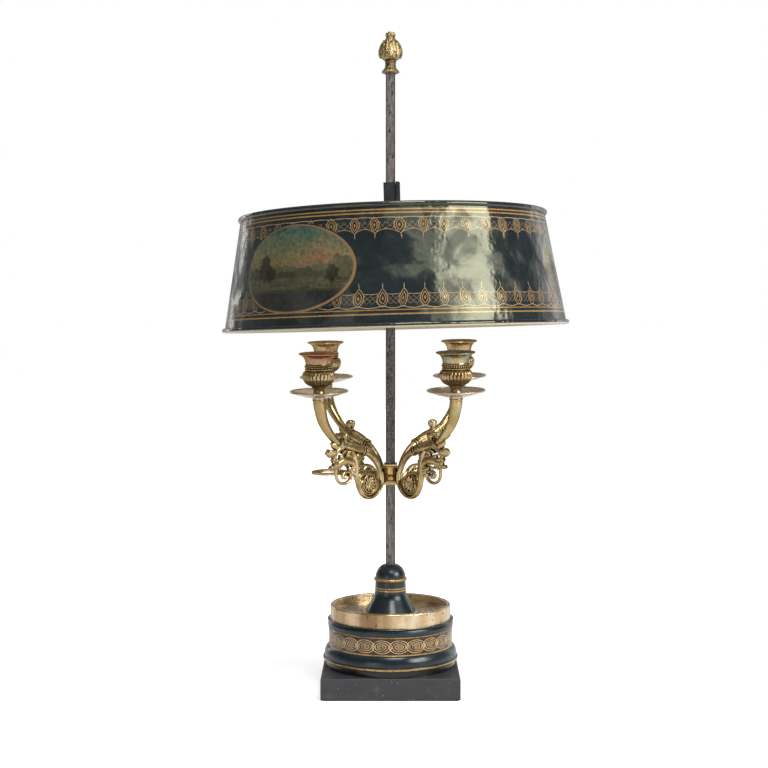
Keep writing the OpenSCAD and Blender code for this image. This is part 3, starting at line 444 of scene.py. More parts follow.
wave = add("TexNoise", {"Vector": mm, "Scale": 0.016, "Detail": 4})
relief = add("Bump", {"Distance": 0.006, "Height": wave})
surface(add("BsdfPrincipled", {
    "Base Color": colour, "Roughness": rough, "Metallic": metal, "Normal": relief,
    "Specular IOR Level": 0.95, "Specular Tint": "#dcdcb9"}))
dress(tole, "shade_skin", "shade_top_rim", "shade_bottom_rim")

# ---- spider and sleeve
# Forged iron, blackened: four spokes with tabs turned down against the sheet, and an
# open sleeve that slides on the stem and is held by a loose wedge.

# Blackened iron: soft dark sheen over a hammered skin with marks about 7 mm across
black, add, mm = new_finish("blackened_iron")
cloud = add("TexNoise", {"Vector": mm, "Scale": 0.15, "Detail": 5, "Roughness": 0.65})
colour = add("ValToRGB", [cloud], stops=[(0.35, "#1c1e20"), (0.7, "#2f3234")])
relief = add("Bump", {"Strength": 0.3, "Distance": 0.0006, "Height": cloud})
surface(add("BsdfPrincipled", {"Base Color": colour, "Metallic": 0.5, "Roughness": 0.5, "Normal": relief}))
dress(black, "shade_spider", "shade_sleeve", "shade_wedge")

# ---- candle sockets
# Cast and turned brass urns, gadrooned below a row of beads, with a plain flared neck
# that has tarnished pink and blue; each screws down on a tenon through its drip pan.

cluster_z = 237.0  # middle of the cluster's collar, in millimetres
corners = {  # heading of each arm in degrees, and its socket's distance from the stem
    "front_left": (225, 102.0), "front_right": (315, 105.0),
    "back_left": (135, 109.5), "back_right": (45, 112.0)}
neck_low, neck_high = 350.0, 390.0  # heights over which a neck's colours are laid out
bulb_z, bulb_half = 352.0, 9.5  # middle of a bulb, and half its height


def shift(x, y, z):
    """A move."""
    return Matrix.Translation((x, y, z))


def spin(degrees, axis):
    """A turn about an axis through the origin."""
    return Matrix.Rotation(math.radians(degrees), 4, axis)


def at_corner(heading, out=0.0, up=0.0):
    """Where a piece of one arm goes in the cluster, which leans and turns a little."""
    lean = spin(-0.8, "Y") @ spin(4.4, "X") @ spin(-2.4, "Z")
    return (Matrix.Scale(0.001, 4) @ shift(0, 0, cluster_z) @ lean @ shift(0, 0, -cluster_z)
            @ spin(heading, "Z") @ shift(out, 0, up))


def pick(piece):
    """Select one object only and make it the active one."""
    bpy.ops.object.select_all(action="DESELECT")
    piece.select_set(True)
    bpy.context.view_layer.objects.active = piece


def put_at(piece, matrix):
    """Move a piece's mesh to its place and leave the object at the origin."""
    piece.matrix_world = matrix
    pick(piece)
    bpy.ops.object.transform_apply()


def turned(name, outline, steps=96):
    """Spin an outline of (radius, height) round the Z axis into a closed shell."""
    mesh = bpy.data.meshes.new(name)
    mesh.from_pydata([(r, 0, z) for r, z in outline], [(i, i + 1) for i in range(len(outline) - 1)], [])
    piece = bpy.data.objects.new(name, mesh)
    bpy.context.collection.objects.link(piece)
    pick(piece)
    bpy.ops.object.mode_set(mode="EDIT")
    bpy.ops.mesh.select_all(action="SELECT")
    bpy.ops.mesh.spin(steps=steps, angle=2 * math.pi, center=(0, 0, 0), axis=(0, 0, 1))
    face_outwards()
    return piece


def face_outwards():
    """In edit mode, merge what meets, turn all faces outwards, and leave edit mode."""
    bpy.ops.mesh.select_all(action="SELECT")
    bpy.ops.mesh.remove_doubles(threshold=0.001)
    bpy.ops.mesh.normals_make_consistent(inside=False)
    bpy.ops.object.mode_set(mode="OBJECT")


def bend(cx, cy, rx, ry, start, end, n):
    """Points along part of an ellipse, for an outline."""
    turns = [math.radians(start + (end - start) * i / n) for i in range(n + 1)]
    return [(cx + rx * math.cos(a), cy + ry * math.sin(a)) for a in turns]


def choose(piece, test):
    """In edit mode, select the vertices that pass a test on their place."""
    mesh = bmesh.from_edit_mesh(piece.data)
    for vert in mesh.verts:
        vert.select = bool(test(vert.co))
    mesh.select_flush_mode()
    bmesh.update_edit_mesh(piece.data)


def another(piece, name):
    """A copy of a piece with its own mesh."""
    twin = piece.copy()
    twin.data = piece.data.copy()
    twin.name = twin.data.name = name
    bpy.context.collection.objects.link(twin)
    return twin


def smooth(piece, angle):
    """Shade a piece smooth, except at edges sharper than an angle in degrees."""
    pick(piece)
    bpy.ops.object.shade_smooth_by_angle(angle=math.radians(angle))


def join(name, pieces, finish):
    """Join pieces into one object with one finish."""
    pick(pieces[0])
    for piece in pieces:
        piece.select_set(True)
    bpy.ops.object.join()
    whole = bpy.context.object
    whole.name = whole.data.name = name
    whole.data.materials.clear()
    whole.data.materials.append(finish)
    return whole


# Old gilt bronze: pale gold on the edges, brown in the hollows with dirt and painted shade, brown on
# the socket's bulb, fine dirt about 2 mm across, and a neck gone pink and blue in clouds about 20 mm wide
tarnished, add, mm = new_finish("tarnished_gilt_bronze")
cloud = add("TexNoise", {"Vector": mm, "Scale": 0.07, "Detail": 4, "Roughness": 0.6})
fine = add("TexNoise", {"Vector": mm, "Scale": 0.5, "Detail": 6, "Roughness": 0.72})
# dirt and painted shade in the hollows, from ambient occlusion
hollow_dirt_and_shade = add("AmbientOcclusion", {"Distance": 0.0045}, out=1)
hollow_dirt_and_shade = add("ValToRGB", [hollow_dirt_and_shade], stops=[(0.25, 0.92), (0.82, 0.0)])
colour = add("ValToRGB", [cloud], stops=[(0.3, "#8c774f"), (0.5, "#af986c"), (0.7, "#cebd94")])
x, _, z = add("SeparateXYZ", [mm], out=slice(3))
tint = add("TexNoise", {"Vector": mm, "Scale": 0.05})
tint = add("Math", [x, 0.0014, tint], "MULTIPLY_ADD")
tint = add("ValToRGB", [tint], stops=[(0.36, "#a26c5c"), (0.48, "#978a5e"), (0.62, "#7d8784")])
neck = add("MapRange", [z, neck_low, neck_high])
neck = add("ValToRGB", [neck], stops=[(0.28, 0.0), (0.42, 0.68), (0.64, 0.68), (0.7, 0.0)])
bulb = add("Math", [add("Math", [z, bulb_z, bulb_half], "COMPARE"), 0.22], "MULTIPLY")
dirt = add("ValToRGB", [fine], stops=[(0.38, 0.25), (0.55, 0.0)])
dirt = add("Math", [dirt, hollow_dirt_and_shade], "MAXIMUM")
for mask, coat in ((neck, tint), (bulb, "#755634"), (dirt, "#433320")):
    colour = add("Mix", {0: mask, 6: colour, 7: coat}, out=2, data_type="RGBA")
rough = add("MapRange", [fine, 0.3, 0.7, 0.3, 0.2])
relief = add("Bump", {"Strength": 0.05, "Distance": 0.0006, "Height": fine})
surface(add("BsdfPrincipled", {
    "Base Color": colour, "Metallic": 0.85, "Roughness": rough, "Normal": relief,
    "Specular Tint": "#b99d78"}))

lobes = 26  # gadroons round the bulb
beads, bead_ring_r, bead_z = 34, 14.1, 365.4
outline = ([(0, 334.4), (6.9, 334.4), (7.1, 335.2), (6.9, 336.2), (6.0, 337.6), (5.8, 340.4),
            (6.3, 342.4), (7.7, 343.2), (7.8, 344.2)]
           + bend(5.3, 356.0, 12.4, 11.9, -78, 0, 12) + bend(13.9, 356.0, 3.8, 5.2, 14, 80, 6)
           + [(14.0, 361.6), (14.9, 362.2), (15.1, 363.2), (14.4, 363.6), (13.6, 364.4), (13.6, 366.4),
              (14.6, 366.8), (14.8, 367.5), (14.1, 368.0)]
           + bend(20.6, 367.9, 6.7, 10.6, 178, 110, 8)
           + [(20.0, 378.5), (20.9, 379.0), (21.1, 379.7), (20.7, 380.3), (19.6, 380.4), (12.6, 379.0),
              (11.2, 378.4), (11.2, 354.7), (0, 354.7)])
urn = turned("urn", outline, steps=4 * lobes)
# Draw in every fourth line of the bulb, which leaves the gadroons between
bpy.ops.object.mode_set(mode="EDIT")
choose(urn, lambda co: 345.0 < co.z < 359.5 and math.hypot(co.x, co.y) > 8.0
       and math.cos(math.atan2(co.y, co.x) * lobes) > 0.9)
bpy.ops.transform.resize(value=(0.925, 0.925, 1.0), center_override=(0, 0, 0))
bpy.ops.object.mode_set(mode="OBJECT")
smooth(urn, 55)
urn_parts = [urn]
for i in range(beads):
    bpy.ops.mesh.primitive_uv_sphere_add(segments=8, ring_count=6, radius=1.15)
    bead = bpy.context.object
    bpy.ops.object.shade_smooth()
    angle = 2 * math.pi * i / beads
    put_at(bead, shift(bead_ring_r * math.cos(angle), bead_ring_r * math.sin(angle), bead_z))
    urn_parts.append(bead)
urn = join("urn", urn_parts, tarnished)
for corner, (heading, reach) in corners.items():
    piece = another(urn, "gadrooned_socket_" + corner)
    put_at(piece, at_corner(heading, reach))
    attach(piece, "cluster")
    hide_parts("candle_socket_" + corner)
bpy.data.objects.remove(urn)

# ---- drip pans
# Thin dished brass, its tinning worn to a pale grey buff. Each pan is held between
# its socket and the ring on the horn.

# Worn tinning: pale and soft in shine, clouded in patches about 12 mm across, with
# small brown spots where the brass shows
tinned, add, mm = new_finish("worn_tinned_brass")
cloud = add("TexNoise", {"Vector": mm, "Scale": 0.08, "Detail": 5, "Roughness": 0.65})
fine = add("TexNoise", {"Vector": mm, "Scale": 0.7, "Detail": 5, "Roughness": 0.7})
colour = add("ValToRGB", [cloud], stops=[(0.32, "#a8947c"), (0.5, "#c5b59f"), (0.7, "#ded3c3")])
dirt = add("ValToRGB", [fine], stops=[(0.4, 0.35), (0.55, 0.0)])
colour = add("Mix", {0: dirt, 6: colour, 7: "#5a4a33"}, out=2, data_type="RGBA")
relief = add("Bump", {"Strength": 0.2, "Distance": 0.0005, "Height": cloud})
surface(add("BsdfPrincipled", {"Base Color": colour, "Metallic": 0.9, "Roughness": 0.3, "Normal": relief}))
dress(tinned, *["drip_pan_" + corner for corner in corners])

# ---- horns
# Cast brass horns, filed smooth, each set in the leafy cup of its arm. The ring on
# top carries the drip pan.

# Rubbed gilt bronze: olive gold with faint pink and green clouds about 17 mm wide,
# evenly rubbed, browner in the hollows, where hands do not reach, with dirt and painted shade
rubbed_gilt, add, mm = new_finish("rubbed_gilt_bronze")
cloud = add("TexNoise", {"Vector": mm, "Scale": 0.045, "Detail": 3})
fine = add("TexNoise", {"Vector": mm, "Scale": 0.4, "Detail": 4, "Roughness": 0.6})
colour = add("ValToRGB", [cloud], stops=[(0.3, "#87734b"), (0.5, "#a59262"), (0.7, "#c2b184")])
tint = add("TexNoise", {"Vector": mm, "Scale": 0.06})
tint = add("ValToRGB", [tint], stops=[(0.36, "#b28573"), (0.5, "#a8935c"), (0.64, "#859076")])
# dirt and painted shade in the hollows, from ambient occlusion
hollow_dirt_and_shade = add("AmbientOcclusion", {"Distance": 0.006}, out=1)
hollow_dirt_and_shade = add("ValToRGB", [hollow_dirt_and_shade], stops=[(0.3, 0.8), (0.85, 0.0)])
dirt = add("ValToRGB", [fine], stops=[(0.62, 0.0), (0.72, 0.4)])
for mask, coat in ((0.35, tint), (hollow_dirt_and_shade, "#41301a"), (dirt, "#5c4a2a")):
    colour = add("Mix", {0: mask, 6: colour, 7: coat}, out=2, data_type="RGBA")
rough = add("MapRange", [fine, 0.3, 0.7, 0.2, 0.3])
relief = add("Bump", {"Strength": 0.06, "Distance": 0.0006, "Height": fine})
surface(add("BsdfPrincipled", {
    "Base Color": colour, "Metallic": 0.95, "Roughness": rough, "Normal": relief,
    "Specular Tint": "#8c6c48"}))


def rod(name, rows, deep=1.0, sides=4, steps=6):
    """A cast rod through rows of (distance out, height, width) in an arm's plane.
    Across the plane it is deep times as wide as in it."""
    curve = bpy.data.curves.new(name, "CURVE")
    curve.dimensions = "3D"
    curve.bevel_depth, curve.bevel_resolution = 1.0, sides
    curve.resolution_u = steps
    curve.use_fill_caps = True
    spline = curve.splines.new("BEZIER")
    spline.bezier_points.add(len(rows) - 1)
    for point, (out, up, wide) in zip(spline.bezier_points, rows):
        point.co = (out, 0, up)
        point.radius = wide / 2
        point.handle_left_type = point.handle_right_type = "AUTO"
    piece = bpy.data.objects.new(name, curve)
    bpy.context.collection.objects.link(piece)
    pick(piece)
    bpy.ops.object.convert(target="MESH")
    piece = bpy.context.object
    put_at(piece, Matrix.Diagonal((1, deep, 1, 1)))
    bpy.ops.object.mode_set(mode="EDIT")
    face_outwards()
    return piece


horn_top = 331.0  # top of a horn's ring, in millimetres
cup_x, cup_z = 75.0, cluster_z + 42.5
for corner, (heading, reach) in corners.items():
    rows = [(cup_x - 2, cup_z - 1.2, 7.8), (cup_x + 1.77, cup_z + 0.94, 7.9)]
    for share, down, wide in ((0.22, 47.2, 8.4), (0.47, 39.7, 9.4), (0.71, 30.7, 10.8), (0.88, 20.5, 12.2),
                              (0.96, 10.5, 13.2), (0.995, 5.0, 13.4), (1.0, 1.6, 13.2)):
        rows.append((cup_x + share * (reach - cup_x), horn_top - down, wide))
    body = rod("horn", rows, sides=10, steps=8)
    cap = turned("horn_cap", [(0, 328.2), (6.4, 328.2), (6.9, 328.5), (7.25, 329.3), (7.25, 330.1),
                              (6.8, 330.7), (6.9, horn_top), (0, horn_top)], steps=48)
    put_at(cap, shift(reach, 0, 0))
    piece = join("plain_horn_" + corner, [body, cap], rubbed_gilt)
    smooth(piece, 40)
    put_at(piece, at_corner(heading))
    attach(piece, "cluster")
    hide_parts("horn_" + corner)

# ---- arms
# Cast brass arms: a leafy cup with a seeded bud, a ringed tube down to the collar, and a
# flat scroll below with raised edges and a rosette, all chased after casting. Heights in
# this section and the next are from the middle of the collar.


def leaf(name, length, width, notches, steps=14, curl=0.0, tip=0.975):
    """A flat leaf along X from its root at the origin, notched, and curled up at its tip.
    The group "swell" is fullest along its midrib."""
    bpy.ops.mesh.primitive_grid_add(x_subdivisions=steps, y_subdivisions=4, size=1, location=(0.5, 0, 0))
    piece = bpy.context.object
    piece.name = name
    bpy.ops.object.transform_apply()
    swell = piece.vertex_groups.new(name="swell")
    for vert in piece.data.vertices:
        swell.add([vert.index], 1.0 - 1.5 * abs(vert.co.y), "REPLACE")
    bpy.ops.object.mode_set(mode="EDIT")
    bpy.ops.mesh.select_mode(type="VERT")
    for i in range(steps + 1):
        t = i / steps
        broad = width * (math.sin(math.pi * min(0.12 + 0.88 * t, tip)) ** 0.7)
        broad *= 1 + 0.16 * math.cos(2 * math.pi * notches * t)
        choose(piece, lambda co: abs(co.x - t) < 0.3 / steps)
        bpy.ops.transform.resize(value=(1, broad, 1), center_override=(t, 0, 0))
        bpy.ops.transform.translate(value=(0, 0, curl * t * t))
    choose(piece, lambda co: abs(co.y) > 0.3 * width)
    bpy.ops.transform.translate(value=(0.05, 0, 0))
    bpy.ops.object.mode_set(mode="OBJECT")
    put_at(piece, Matrix.Diagonal((length, 1, 1, 1)))
    return piece


def thicken(piece, thick):
    """Give a flat leaf its thickness, full along the midrib and thin at the edges."""
    pick(piece)
    solid = piece.modifiers.new("solid", "SOLIDIFY")
    solid.thickness, solid.offset = thick, 0.0
    solid.vertex_group, solid.thickness_vertex_group = "swell", 0.2
    bpy.ops.object.modifier_apply(modifier="solid")
    round_off = piece.modifiers.new("round", "SUBSURF")
    round_off.levels = round_off.render_levels = 1
    bpy.ops.object.modifier_apply(modifier="round")


def wrap(piece, target, gap, thick):
    """Lay a flat leaf on a surface and thicken it."""
    cling = piece.modifiers.new("cling", "SHRINKWRAP")
    cling.target, cling.offset, cling.wrap_mode = target, gap, "ABOVE_SURFACE"
    pick(piece)
    bpy.ops.object.modifier_apply(modifier="cling")
    thicken(piece, thick)


tube = rod("tube", [
    (76.2, 43.1, 10.6), (73.2, 41.6, 9.8), (67.5, 39.4, 9.0), (57, 36.1, 10.4), (46, 32.8, 8.6),
    (36, 28.6, 7.8), (27, 22, 7.4), (20, 14, 7.2), (15.8, 4.5, 7.0), (14.6, -5, 5.6)], sides=8, steps=8)
strap_line = [(14.6, 4), (13.8, -5), (16.8, -14), (24, -20.6), (33, -22.4), (41, -19.4), (46.3, -12),
              (49.2, -3), (50.6, 6)]
spiral_line = [(49.6, -1), (46, 3.4), (38.4, 5.2), (30.4, 2.8), (25, -3.4), (23.8, -10.5), (27.8, -16.8),
               (34.6, -18.8), (41, -15.4), (43.4, -9.2), (41.4, -4)]
strap = rod("strap", [(out, up, 4.4) for out, up in strap_line], deep=1.8, sides=6)
spiral_rows = [(out, up, 3.4 - 0.06 * i) for i, (out, up) in enumerate(spiral_line)]
arm_parts = [tube, strap, rod("spiral", spiral_rows, deep=2.0, sides=5)]

# Raised rings round the tube, square to its slope in degrees
for out, up, slope, radius, wire in (
        (38.4, 29.7, 22, 4.8, 1.1), (41.6, 31.0, 20, 4.8, 0.8), (74.6, 42.3, 28, 4.9, 1.0)):
    bpy.ops.mesh.primitive_torus_add(
        major_segments=40, minor_segments=10, major_radius=radius, minor_radius=wire)
    arm_parts.append(bpy.context.object)
    put_at(arm_parts[-1], shift(out, 0, up) @ spin(90 - slope, "Y"))

# Leafy oval boss on a thin plate, and the web that fills the scroll round it
web = turned("web", [(0, -1.0), (0.97, -1.0), (1, -0.8), (1, 0.8), (0.97, 1.0), (0, 1.0)], steps=48)
put_at(web, shift(32.0, 0, -10.4) @ Matrix.Diagonal((15.4, 1.2, 11.4, 1)) @ spin(90, "X"))
eye = shift(33.4, 0, -6.6) @ spin(8, "Y")
oval_up = Matrix.Diagonal((1, 1, 1.2, 1))
plate = turned("plate", [(0, -1.5), (8.8, -1.5), (9.4, -0.8), (9.4, 0.8), (8.8, 1.5), (0, 1.5)], steps=40)
put_at(plate, eye @ oval_up @ spin(90, "X"))
boss = turned("boss", [(0, -4.3), (1.4, -4.1), (2.2, -3.2), (2.4, -2), (2.4, 2), (2.2, 3.2), (1.4, 4.1),
                       (0, 4.3)], steps=20)
put_at(boss, eye @ spin(90, "X"))
arm_parts += [web, plate, boss]
petal = leaf("petal", 7.4, 3.4, 1.6, steps=8, curl=-0.8)
thicken(petal, 1.8)
for side in (-1, 1):
    bpy.ops.mesh.primitive_torus_add(major_segments=40, minor_segments=8, major_radius=8.4, minor_radius=0.9)
    arm_parts.append(bpy.context.object)
    put_at(arm_parts[-1], eye @ shift(0, side * 1.9, 0) @ oval_up @ spin(90, "X"))
    for i in range(11):
        blade = another(petal, "petal_copy")
        put_at(blade, eye @ shift(0, side * 2.0, 0) @ Matrix.Diagonal((1, 1, 1.14, 1))
               @ spin(360 * i / 11, "Y") @ spin(-90 * side, "X") @ spin(-14, "Y") @ shift(0.6, 0, 0))
        arm_parts.append(blade)
bpy.data.objects.remove(petal)

# Acanthus leaves round the cup, with their tips towards the horn
for i in range(5):
    blade = leaf("acanthus", 28, 7.6, 3.5)
    put_at(blade, shift(44.5, 0, 32.1) @ spin(-19, "Y") @ spin(72 * (i + 0.5), "X") @ shift(0, 0, 7.0))
    wrap(blade, tube, 0.5, 1.7)
    arm_parts.append(blade)

# The bud on top: a seeded ball on a collared stalk in a calyx
bud_x, bud_up = 67.0, 50.0
stalk = turned("bud_stalk", [
    (0, -9.5), (3.4, -9.5), (3.0, -7.2), (3.9, -6.4), (3.7, -5.6), (2.6, -5.0), (2.7, -4.2), (4.4, -2.6),
    (5.0, -0.6), (5.1, 1.0), (4.4, 3.2), (2.8, 4.6), (0, 5.1)], steps=32)
put_at(stalk, shift(bud_x, 0, bud_up))
arm_parts.append(stalk)
for i in range(6):
    blade = leaf("calyx", 8.6, 4.2, 1.5, steps=8)
    put_at(blade, shift(bud_x, 0, bud_up - 5.2) @ spin(60 * i, "Z") @ shift(3.4, 0, 0) @ spin(-76, "Y"))
    wrap(blade, stalk, 0.35, 1.0)
    arm_parts.append(blade)
for piece in arm_parts:
    smooth(piece, 50)
arm = join("arm", arm_parts, tarnished)
for corner, (heading, _) in corners.items():
    piece = another(arm, "leafy_arm_" + corner)
    put_at(piece, at_corner(heading, up=cluster_z))
    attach(piece, "cluster")
    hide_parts("arm_" + corner)
bpy.data.objects.remove(arm)

# ---- brackets
# Openwork cast in brass and fixed under each arm: a spine, a hooked scroll, curling
# leaves and a volute.

# Rows through each limb, and its depth across the plane
limbs = [
    ([(48.6, -6, 2.6), (51, 2, 5.4), (51.6, 10, 7.0), (51.6, 17, 7.2), (52.8, 23, 7.0), (55.2, 28.8, 6.6),
      (58.6, 34, 5.4), (62, 37.5, 3.6)], 1.0),
    ([(56, 32, 3.4), (61, 37.6, 4.4), (68, 39, 4.8), (75, 37.4, 6.0), (80, 33.8, 5.6), (82.2, 29, 3.8),
      (81.6, 24.6, 3.0), (81.2, 20.6, 3.2), (83.4, 17.6, 2.8), (87, 16.2, 1.4)], 1.1),
    ([(52.6, 13, 5.0), (56.5, 18.8, 7.4), (63.5, 22.4, 8.2), (71, 23.2, 8.4), (77.4, 20.8, 7.6),
      (80.4, 17.0, 5.2), (78.6, 13.8, 2.4)], 0.95),
    ([(80.2, 14.6, 2.8), (79.9, 6.6, 2.8), (76.3, 0.4, 2.8), (69.4, -2.2, 3.0), (62.8, -0.6, 3.2),
      (59.6, 3.8, 3.4), (60.8, 8.4, 3.2), (65.8, 10.2, 3.2), (70.4, 8.8, 3.2), (70.4, 5.4, 3.8),
      (67, 4.8, 4.6)], 1.25),
    ([(50.5, 9, 5.2), (56, 11.5, 5.6), (60.4, 9.2, 4.2)], 1.1),
    ([(54, 27, 4.2), (60, 27.6, 4.4), (65.6, 25.4, 4.0)], 1.1)]
# Root out and up, lean in degrees and length of each leaflet
leaflets = [
    (57, 21, 95, 7), (63, 24, 62, 7.5), (70, 25, 38, 8), (76, 23.6, 4, 8), (79.4, 20, -35, 7),
    (59, 18.6, 8, 7), (65, 21, -22, 7.5), (71.5, 21.4, -52, 8), (76.4, 19, -82, 6.5),
    (50, 2, 118, 6.5), (49.6, 9, 112, 7), (49.6, 16, 105, 7), (51.4, 22.6, 98, 7.5), (55, 28, 88, 7.5),
    (52.6, 5, 48, 7.5), (53, 11, 30, 8), (54.6, 8.6, -14, 8), (57.6, 11.4, 24, 8), (59.4, 8.6, -55, 6),
    (70, 38.4, -16, 14), (62.4, 37, 8, 10), (79, 37, 42, 12), (81, 33.4, -3, 16), (82, 28.6, -62, 8),
    (81.4, 22.6, -72, 7), (83.2, 18, -12, 7.5), (59.6, 32.4, -24, 8.5), (66, 34.4, -32, 8), (58, 26, 12, 8)]
thicker = 1.22  # the casting over its rows
foliage = []
for rows, deep in limbs:
    rows = [(out, up, thicker * wide) for out, up, wide in rows]
    foliage.append(rod("limb", rows, deep=deep, sides=3, steps=5))
leaflet = leaf("leaflet", 10, 7.0, 1.6, steps=8, curl=1.6, tip=0.93)
thicken(leaflet, 3.4)
for k, (out, up, lean, length) in enumerate(leaflets):
    for side in (-1, 1):
        blade = another(leaflet, "leaflet_copy")
        size = length * (0.09 if length < 9 else 0.085)
        put_at(blade, shift(out, side * 2.2, up) @ spin(-lean, "Y") @ spin(side * (74 + 9 * (k % 3 - 1)), "X")
               @ Matrix.Scale(size, 4))
        foliage.append(blade)
bpy.data.objects.remove(leaflet)
bpy.ops.mesh.primitive_uv_sphere_add(segments=16, ring_count=10, radius=2.7)
foliage.append(bpy.context.object)
put_at(foliage[-1], shift(67.4, 0, 5.4) @ Matrix.Diagonal((1, 1.1, 1, 1)))
for piece in foliage:
    smooth(piece, 55)
bracket = join("bracket", foliage, tarnished)
for corner, (heading, _) in corners.items():
    piece = another(bracket, "openwork_bracket_" + corner)
    put_at(piece, at_corner(heading, up=cluster_z))
    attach(piece, "cluster")
    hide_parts("bracket_" + corner)
bpy.data.objects.remove(bracket)

# ---- finial
# Cast brass bud of leaves on a turned base, gilt and rubbed. It screws on the
# stem's top tenon.

neck_z = 697.5  # middle of the base's neck, in millimetres

# Gilt bronze: brighter gold than the cluster, brown between the leaves with dirt and painted shade,
# brown round the neck of the base, with fine spots about 2 mm across
gilding, add, mm = new_finish("gilt_bronze")
cloud = add("TexNoise", {"Vector": mm, "Scale": 0.09, "Detail": 5, "Roughness": 0.6})
fine = add("TexNoise", {"Vector": mm, "Scale": 0.55, "Detail": 5, "Roughness": 0.7})
# dirt and painted shade between the leaves, from ambient occlusion
hollow_dirt_and_shade = add("AmbientOcclusion", {"Distance": 0.006}, out=1)
hollow_dirt_and_shade = add("ValToRGB", [hollow_dirt_and_shade], stops=[(0.45, 0.95), (0.96, 0.0)])
colour = add("ValToRGB", [cloud], stops=[(0.3, "#937f52"), (0.5, "#b09d70"), (0.7, "#c9b992")])
dirt = add("ValToRGB", [fine], stops=[(0.4, 0.65), (0.5, 0.0)])
neck = add("Math", [add("SeparateXYZ", [mm], out=2), neck_z], "SUBTRACT")
neck = add("MapRange", [add("Math", [neck], "ABSOLUTE"), 3.0, 5.0, 0.85, 0.0])
for mask, coat in ((hollow_dirt_and_shade, "#3d2d18"), (dirt, "#4a3820"), (neck, "#4f3d29")):
    colour = add("Mix", {0: mask, 6: colour, 7: coat}, out=2, data_type="RGBA")
rough = add("MapRange", [fine, 0.3, 0.7, 0.24, 0.4])
relief = add("Bump", {"Strength": 0.6, "Distance": 0.0014, "Height": fine})
surface(add("BsdfPrincipled", {"Base Color": colour, "Metallic": 1.0, "Roughness": rough, "Normal": relief}))
dress(gilding, "finial_base")

bud = turned("bud", [
    (0, 701.1), (6.2, 701.3), (9.6, 703), (11.8, 706.5), (12.3, 710.5), (11.4, 715), (9.4, 719.5),
    (7.2, 723.5), (5.2, 726.6), (4.3, 727.8), (4.2, 728.8), (4.9, 729.8), (4.9, 731.6), (4.3, 732.8),
    (3.2, 733.4), (0, 733.6)], steps=64)
point = turned("point", [(0, 732.6), (1.2, 732.8), (0.7, 734.2), (0, 735.0)], steps=12)
put_at(point, shift(-1.7, 0, 0))
bud_parts = [bud, point]
# Two rows of eight leaves, the upper ones between the lower ones
for half, root, out, length, width, thick in (
        (0.0, 702.4, 13.0, 20.5, 8.0, 2.6), (0.5, 709.0, 11.5, 17.5, 6.0, 2.2)):
    for i in range(8):
        blade = leaf("bud_leaf", length, width, 3.5)
        put_at(blade, spin(45 * (i + half), "Z") @ shift(out, 0, root) @ spin(-90, "Y"))
        wrap(blade, bud, 0.5, thick)
        bud_parts.append(blade)
for i in range(10):
    rib = rod("crown_rib", [(4.5, 727.4, 1.2), (5.0, 730.0, 1.6), (4.4, 732.8, 1.2)], sides=3)
    put_at(rib, spin(36 * i, "Z"))
    bud_parts.append(rib)
for piece in bud_parts:
    smooth(piece, 50)
bud = join("leafy_bud", bud_parts, gilding)
put_at(bud, Matrix.Scale(0.001, 4))
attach(bud, "base")
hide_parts("finial_bud")

# ---- collar and key
# Cast brass collar with beaded lugs, which slides on the stem with the four arms, and
# the pierced thumb key that goes through it and locks it.

collar_low, collar_high = 224.0, 250.0  # its ends, in millimetres

# Warm gilt brass: yellower than the arms, with engraved rings that hold dark dirt, and painted
# shade with dirt in the hollows
warm_gilt, add, mm = new_finish("warm_gilt_brass")
cloud = add("TexNoise", {"Vector": mm, "Scale": 0.12, "Detail": 4, "Roughness": 0.6})
colour = add("ValToRGB", [cloud], stops=[(0.3, "#846d43"), (0.5, "#aa8f5c"), (0.7, "#c9b07d")])
hollow_dirt_and_shade = add("AmbientOcclusion", {"Distance": 0.003}, out=1)
hollow_dirt_and_shade = add("ValToRGB", [hollow_dirt_and_shade], stops=[(0.25, 0.7), (0.75, 0.0)])
up = add("MapRange", [add("SeparateXYZ", [mm], out=2), collar_low, collar_high])
engraved = add("ValToRGB", [up], stops=[
    (0.18, 0.0), (0.2, 1.0), (0.23, 1.0), (0.25, 0.0), (0.38, 0.0), (0.4, 1.0), (0.42, 0.0), (0.47, 1.0),
    (0.49, 0.0), (0.8, 0.0), (0.83, 1.0), (0.86, 0.0)])
# dark dirt in the engraved rings, with dirt and painted shade in the hollows from ambient occlusion
dirt = add("Math", [hollow_dirt_and_shade, add("Math", [engraved, 0.7], "MULTIPLY")], "MAXIMUM")
colour = add("Mix", {0: dirt, 6: colour, 7: "#44290f"}, out=2, data_type="RGBA")
relief = add("Bump", {"Strength": 0.2, "Distance": 0.0006, "Height": cloud})
relief = add("Bump", {"Strength": 0.8, "Distance": 0.0005, "Height": engraved, "Normal": relief}, invert=True)
surface(add("BsdfPrincipled", {"Base Color": colour, "Metallic": 1.0, "Roughness": 0.3, "Normal": relief}))
dress(warm_gilt, "arm_collar")
dress(tarnished, "lock_key")

# ---- floor, lights, camera
# A plain white studio floor under soft lamps; past the lamp's shadow it is lit to pure
# white. The camera stands in front and looks level.

paper, add, mm = new_finish("studio_floor")
rays = add("LightPath").node.outputs
seen = add("Math", [rays["Is Camera Ray"], rays["Is Transmission Ray"]], "MAXIMUM")
seen = add("Math", [rays["Is Glossy Ray"], 0.3, seen], "MULTIPLY_ADD")
away = add("VectorMath", [mm], "LENGTH", out=1)
beyond = add("MapRange", [away, 150.0, 420.0], interpolation_type="SMOOTHSTEP")
shine = add("Mix", {0: beyond, 2: 0.55, 3: 1.0})
shine = add("Math", [seen, shine], "MULTIPLY")
matt = add("BsdfDiffuse", {"Color": (0.82, 0.82, 0.83, 1.0)})
light = add("Emission", {"Strength": shine})
surface(add("AddShader", [matt, light]))
bpy.ops.mesh.primitive_circle_add(vertices=64, radius=6.0, fill_type="NGON")
floor = bpy.context.object
floor.name = "floor"
floor.data.materials.append(paper)

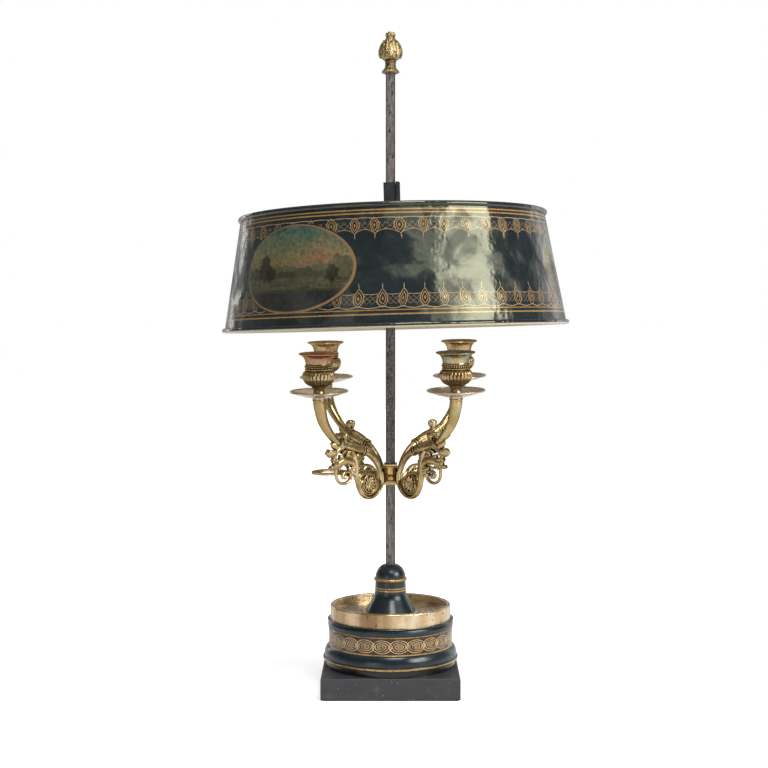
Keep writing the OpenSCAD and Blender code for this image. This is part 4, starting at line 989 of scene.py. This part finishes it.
# A white room for the camera; for reflections, brighter behind, above and below
world = bpy.data.worlds.new("studio")
bpy.context.scene.world = world
world.use_nodes = True
add = adder(world.node_tree)
x, y, z = add("SeparateXYZ", [add("TexCoord")], out=slice(3))
behind = add("MapRange", [add("Math", [x, 0.35, y], "MULTIPLY_ADD"), 0.6, 1.0, 0.14, 0.5])
above = add("MapRange", [z, 0.5, 0.9, 0.0, 0.5])
below = add("MapRange", [z, 0.08, 0.3, 0.16, 0.0])
mirrored = add("Math", [add("Math", [behind, above], "ADD"), below], "ADD")
rays = add("LightPath").node.outputs
white = add("Mix", {0: rays["Is Glossy Ray"], 2: 0.38, 3: mirrored})
white = add("Mix", {0: rays["Is Camera Ray"], 2: white, 3: 1.0})
room = add("Background", {"Color": "#ffffff", "Strength": white})
add("OutputWorld", {"Surface": room}, out=slice(0))


def soft_box(name, place, target, width, height, power):
    """A rectangular soft lamp that faces a point."""
    data = bpy.data.lights.new(name, "AREA")
    data.shape = "RECTANGLE"
    data.size, data.size_y, data.energy = width, height, power
    lamp = bpy.data.objects.new(name, data)
    bpy.context.collection.objects.link(lamp)
    lamp.location = place
    lamp.rotation_euler = (Vector(target) - Vector(place)).to_track_quat("-Z", "Y").to_euler()


soft_box("key", (0.3, -1.3, 2.1), (0, 0, 0.35), 0.8, 0.8, 27)
soft_box("side", (1.75, -1.35, 1.15), (0, 0, 0.45), 1.3, 1.1, 48)
soft_box("low", (-1.1, -1.9, 0.25), (0, 0, 0.25), 0.9, 0.5, 3)
soft_box("left", (-1.9, 2.3, 0.9), (0, 0, 0.45), 0.3, 1.4, 5)
soft_box("rim", (1.9, 1.7, 0.7), (0, 0, 0.45), 0.7, 1.5, 3)

optics = bpy.data.cameras.new("camera")
optics.lens, optics.sensor_width = 65.625, 36.0
optics.shift_x, optics.shift_y = -0.00846, -0.0599
camera = bpy.data.objects.new("camera", optics)
bpy.context.collection.objects.link(camera)
camera.location = (0.0, -1.575, 0.3895)
camera.rotation_euler = (math.radians(90), 0, 0)
bpy.context.scene.camera = camera
bpy.context.scene.view_settings.view_transform = "Standard"
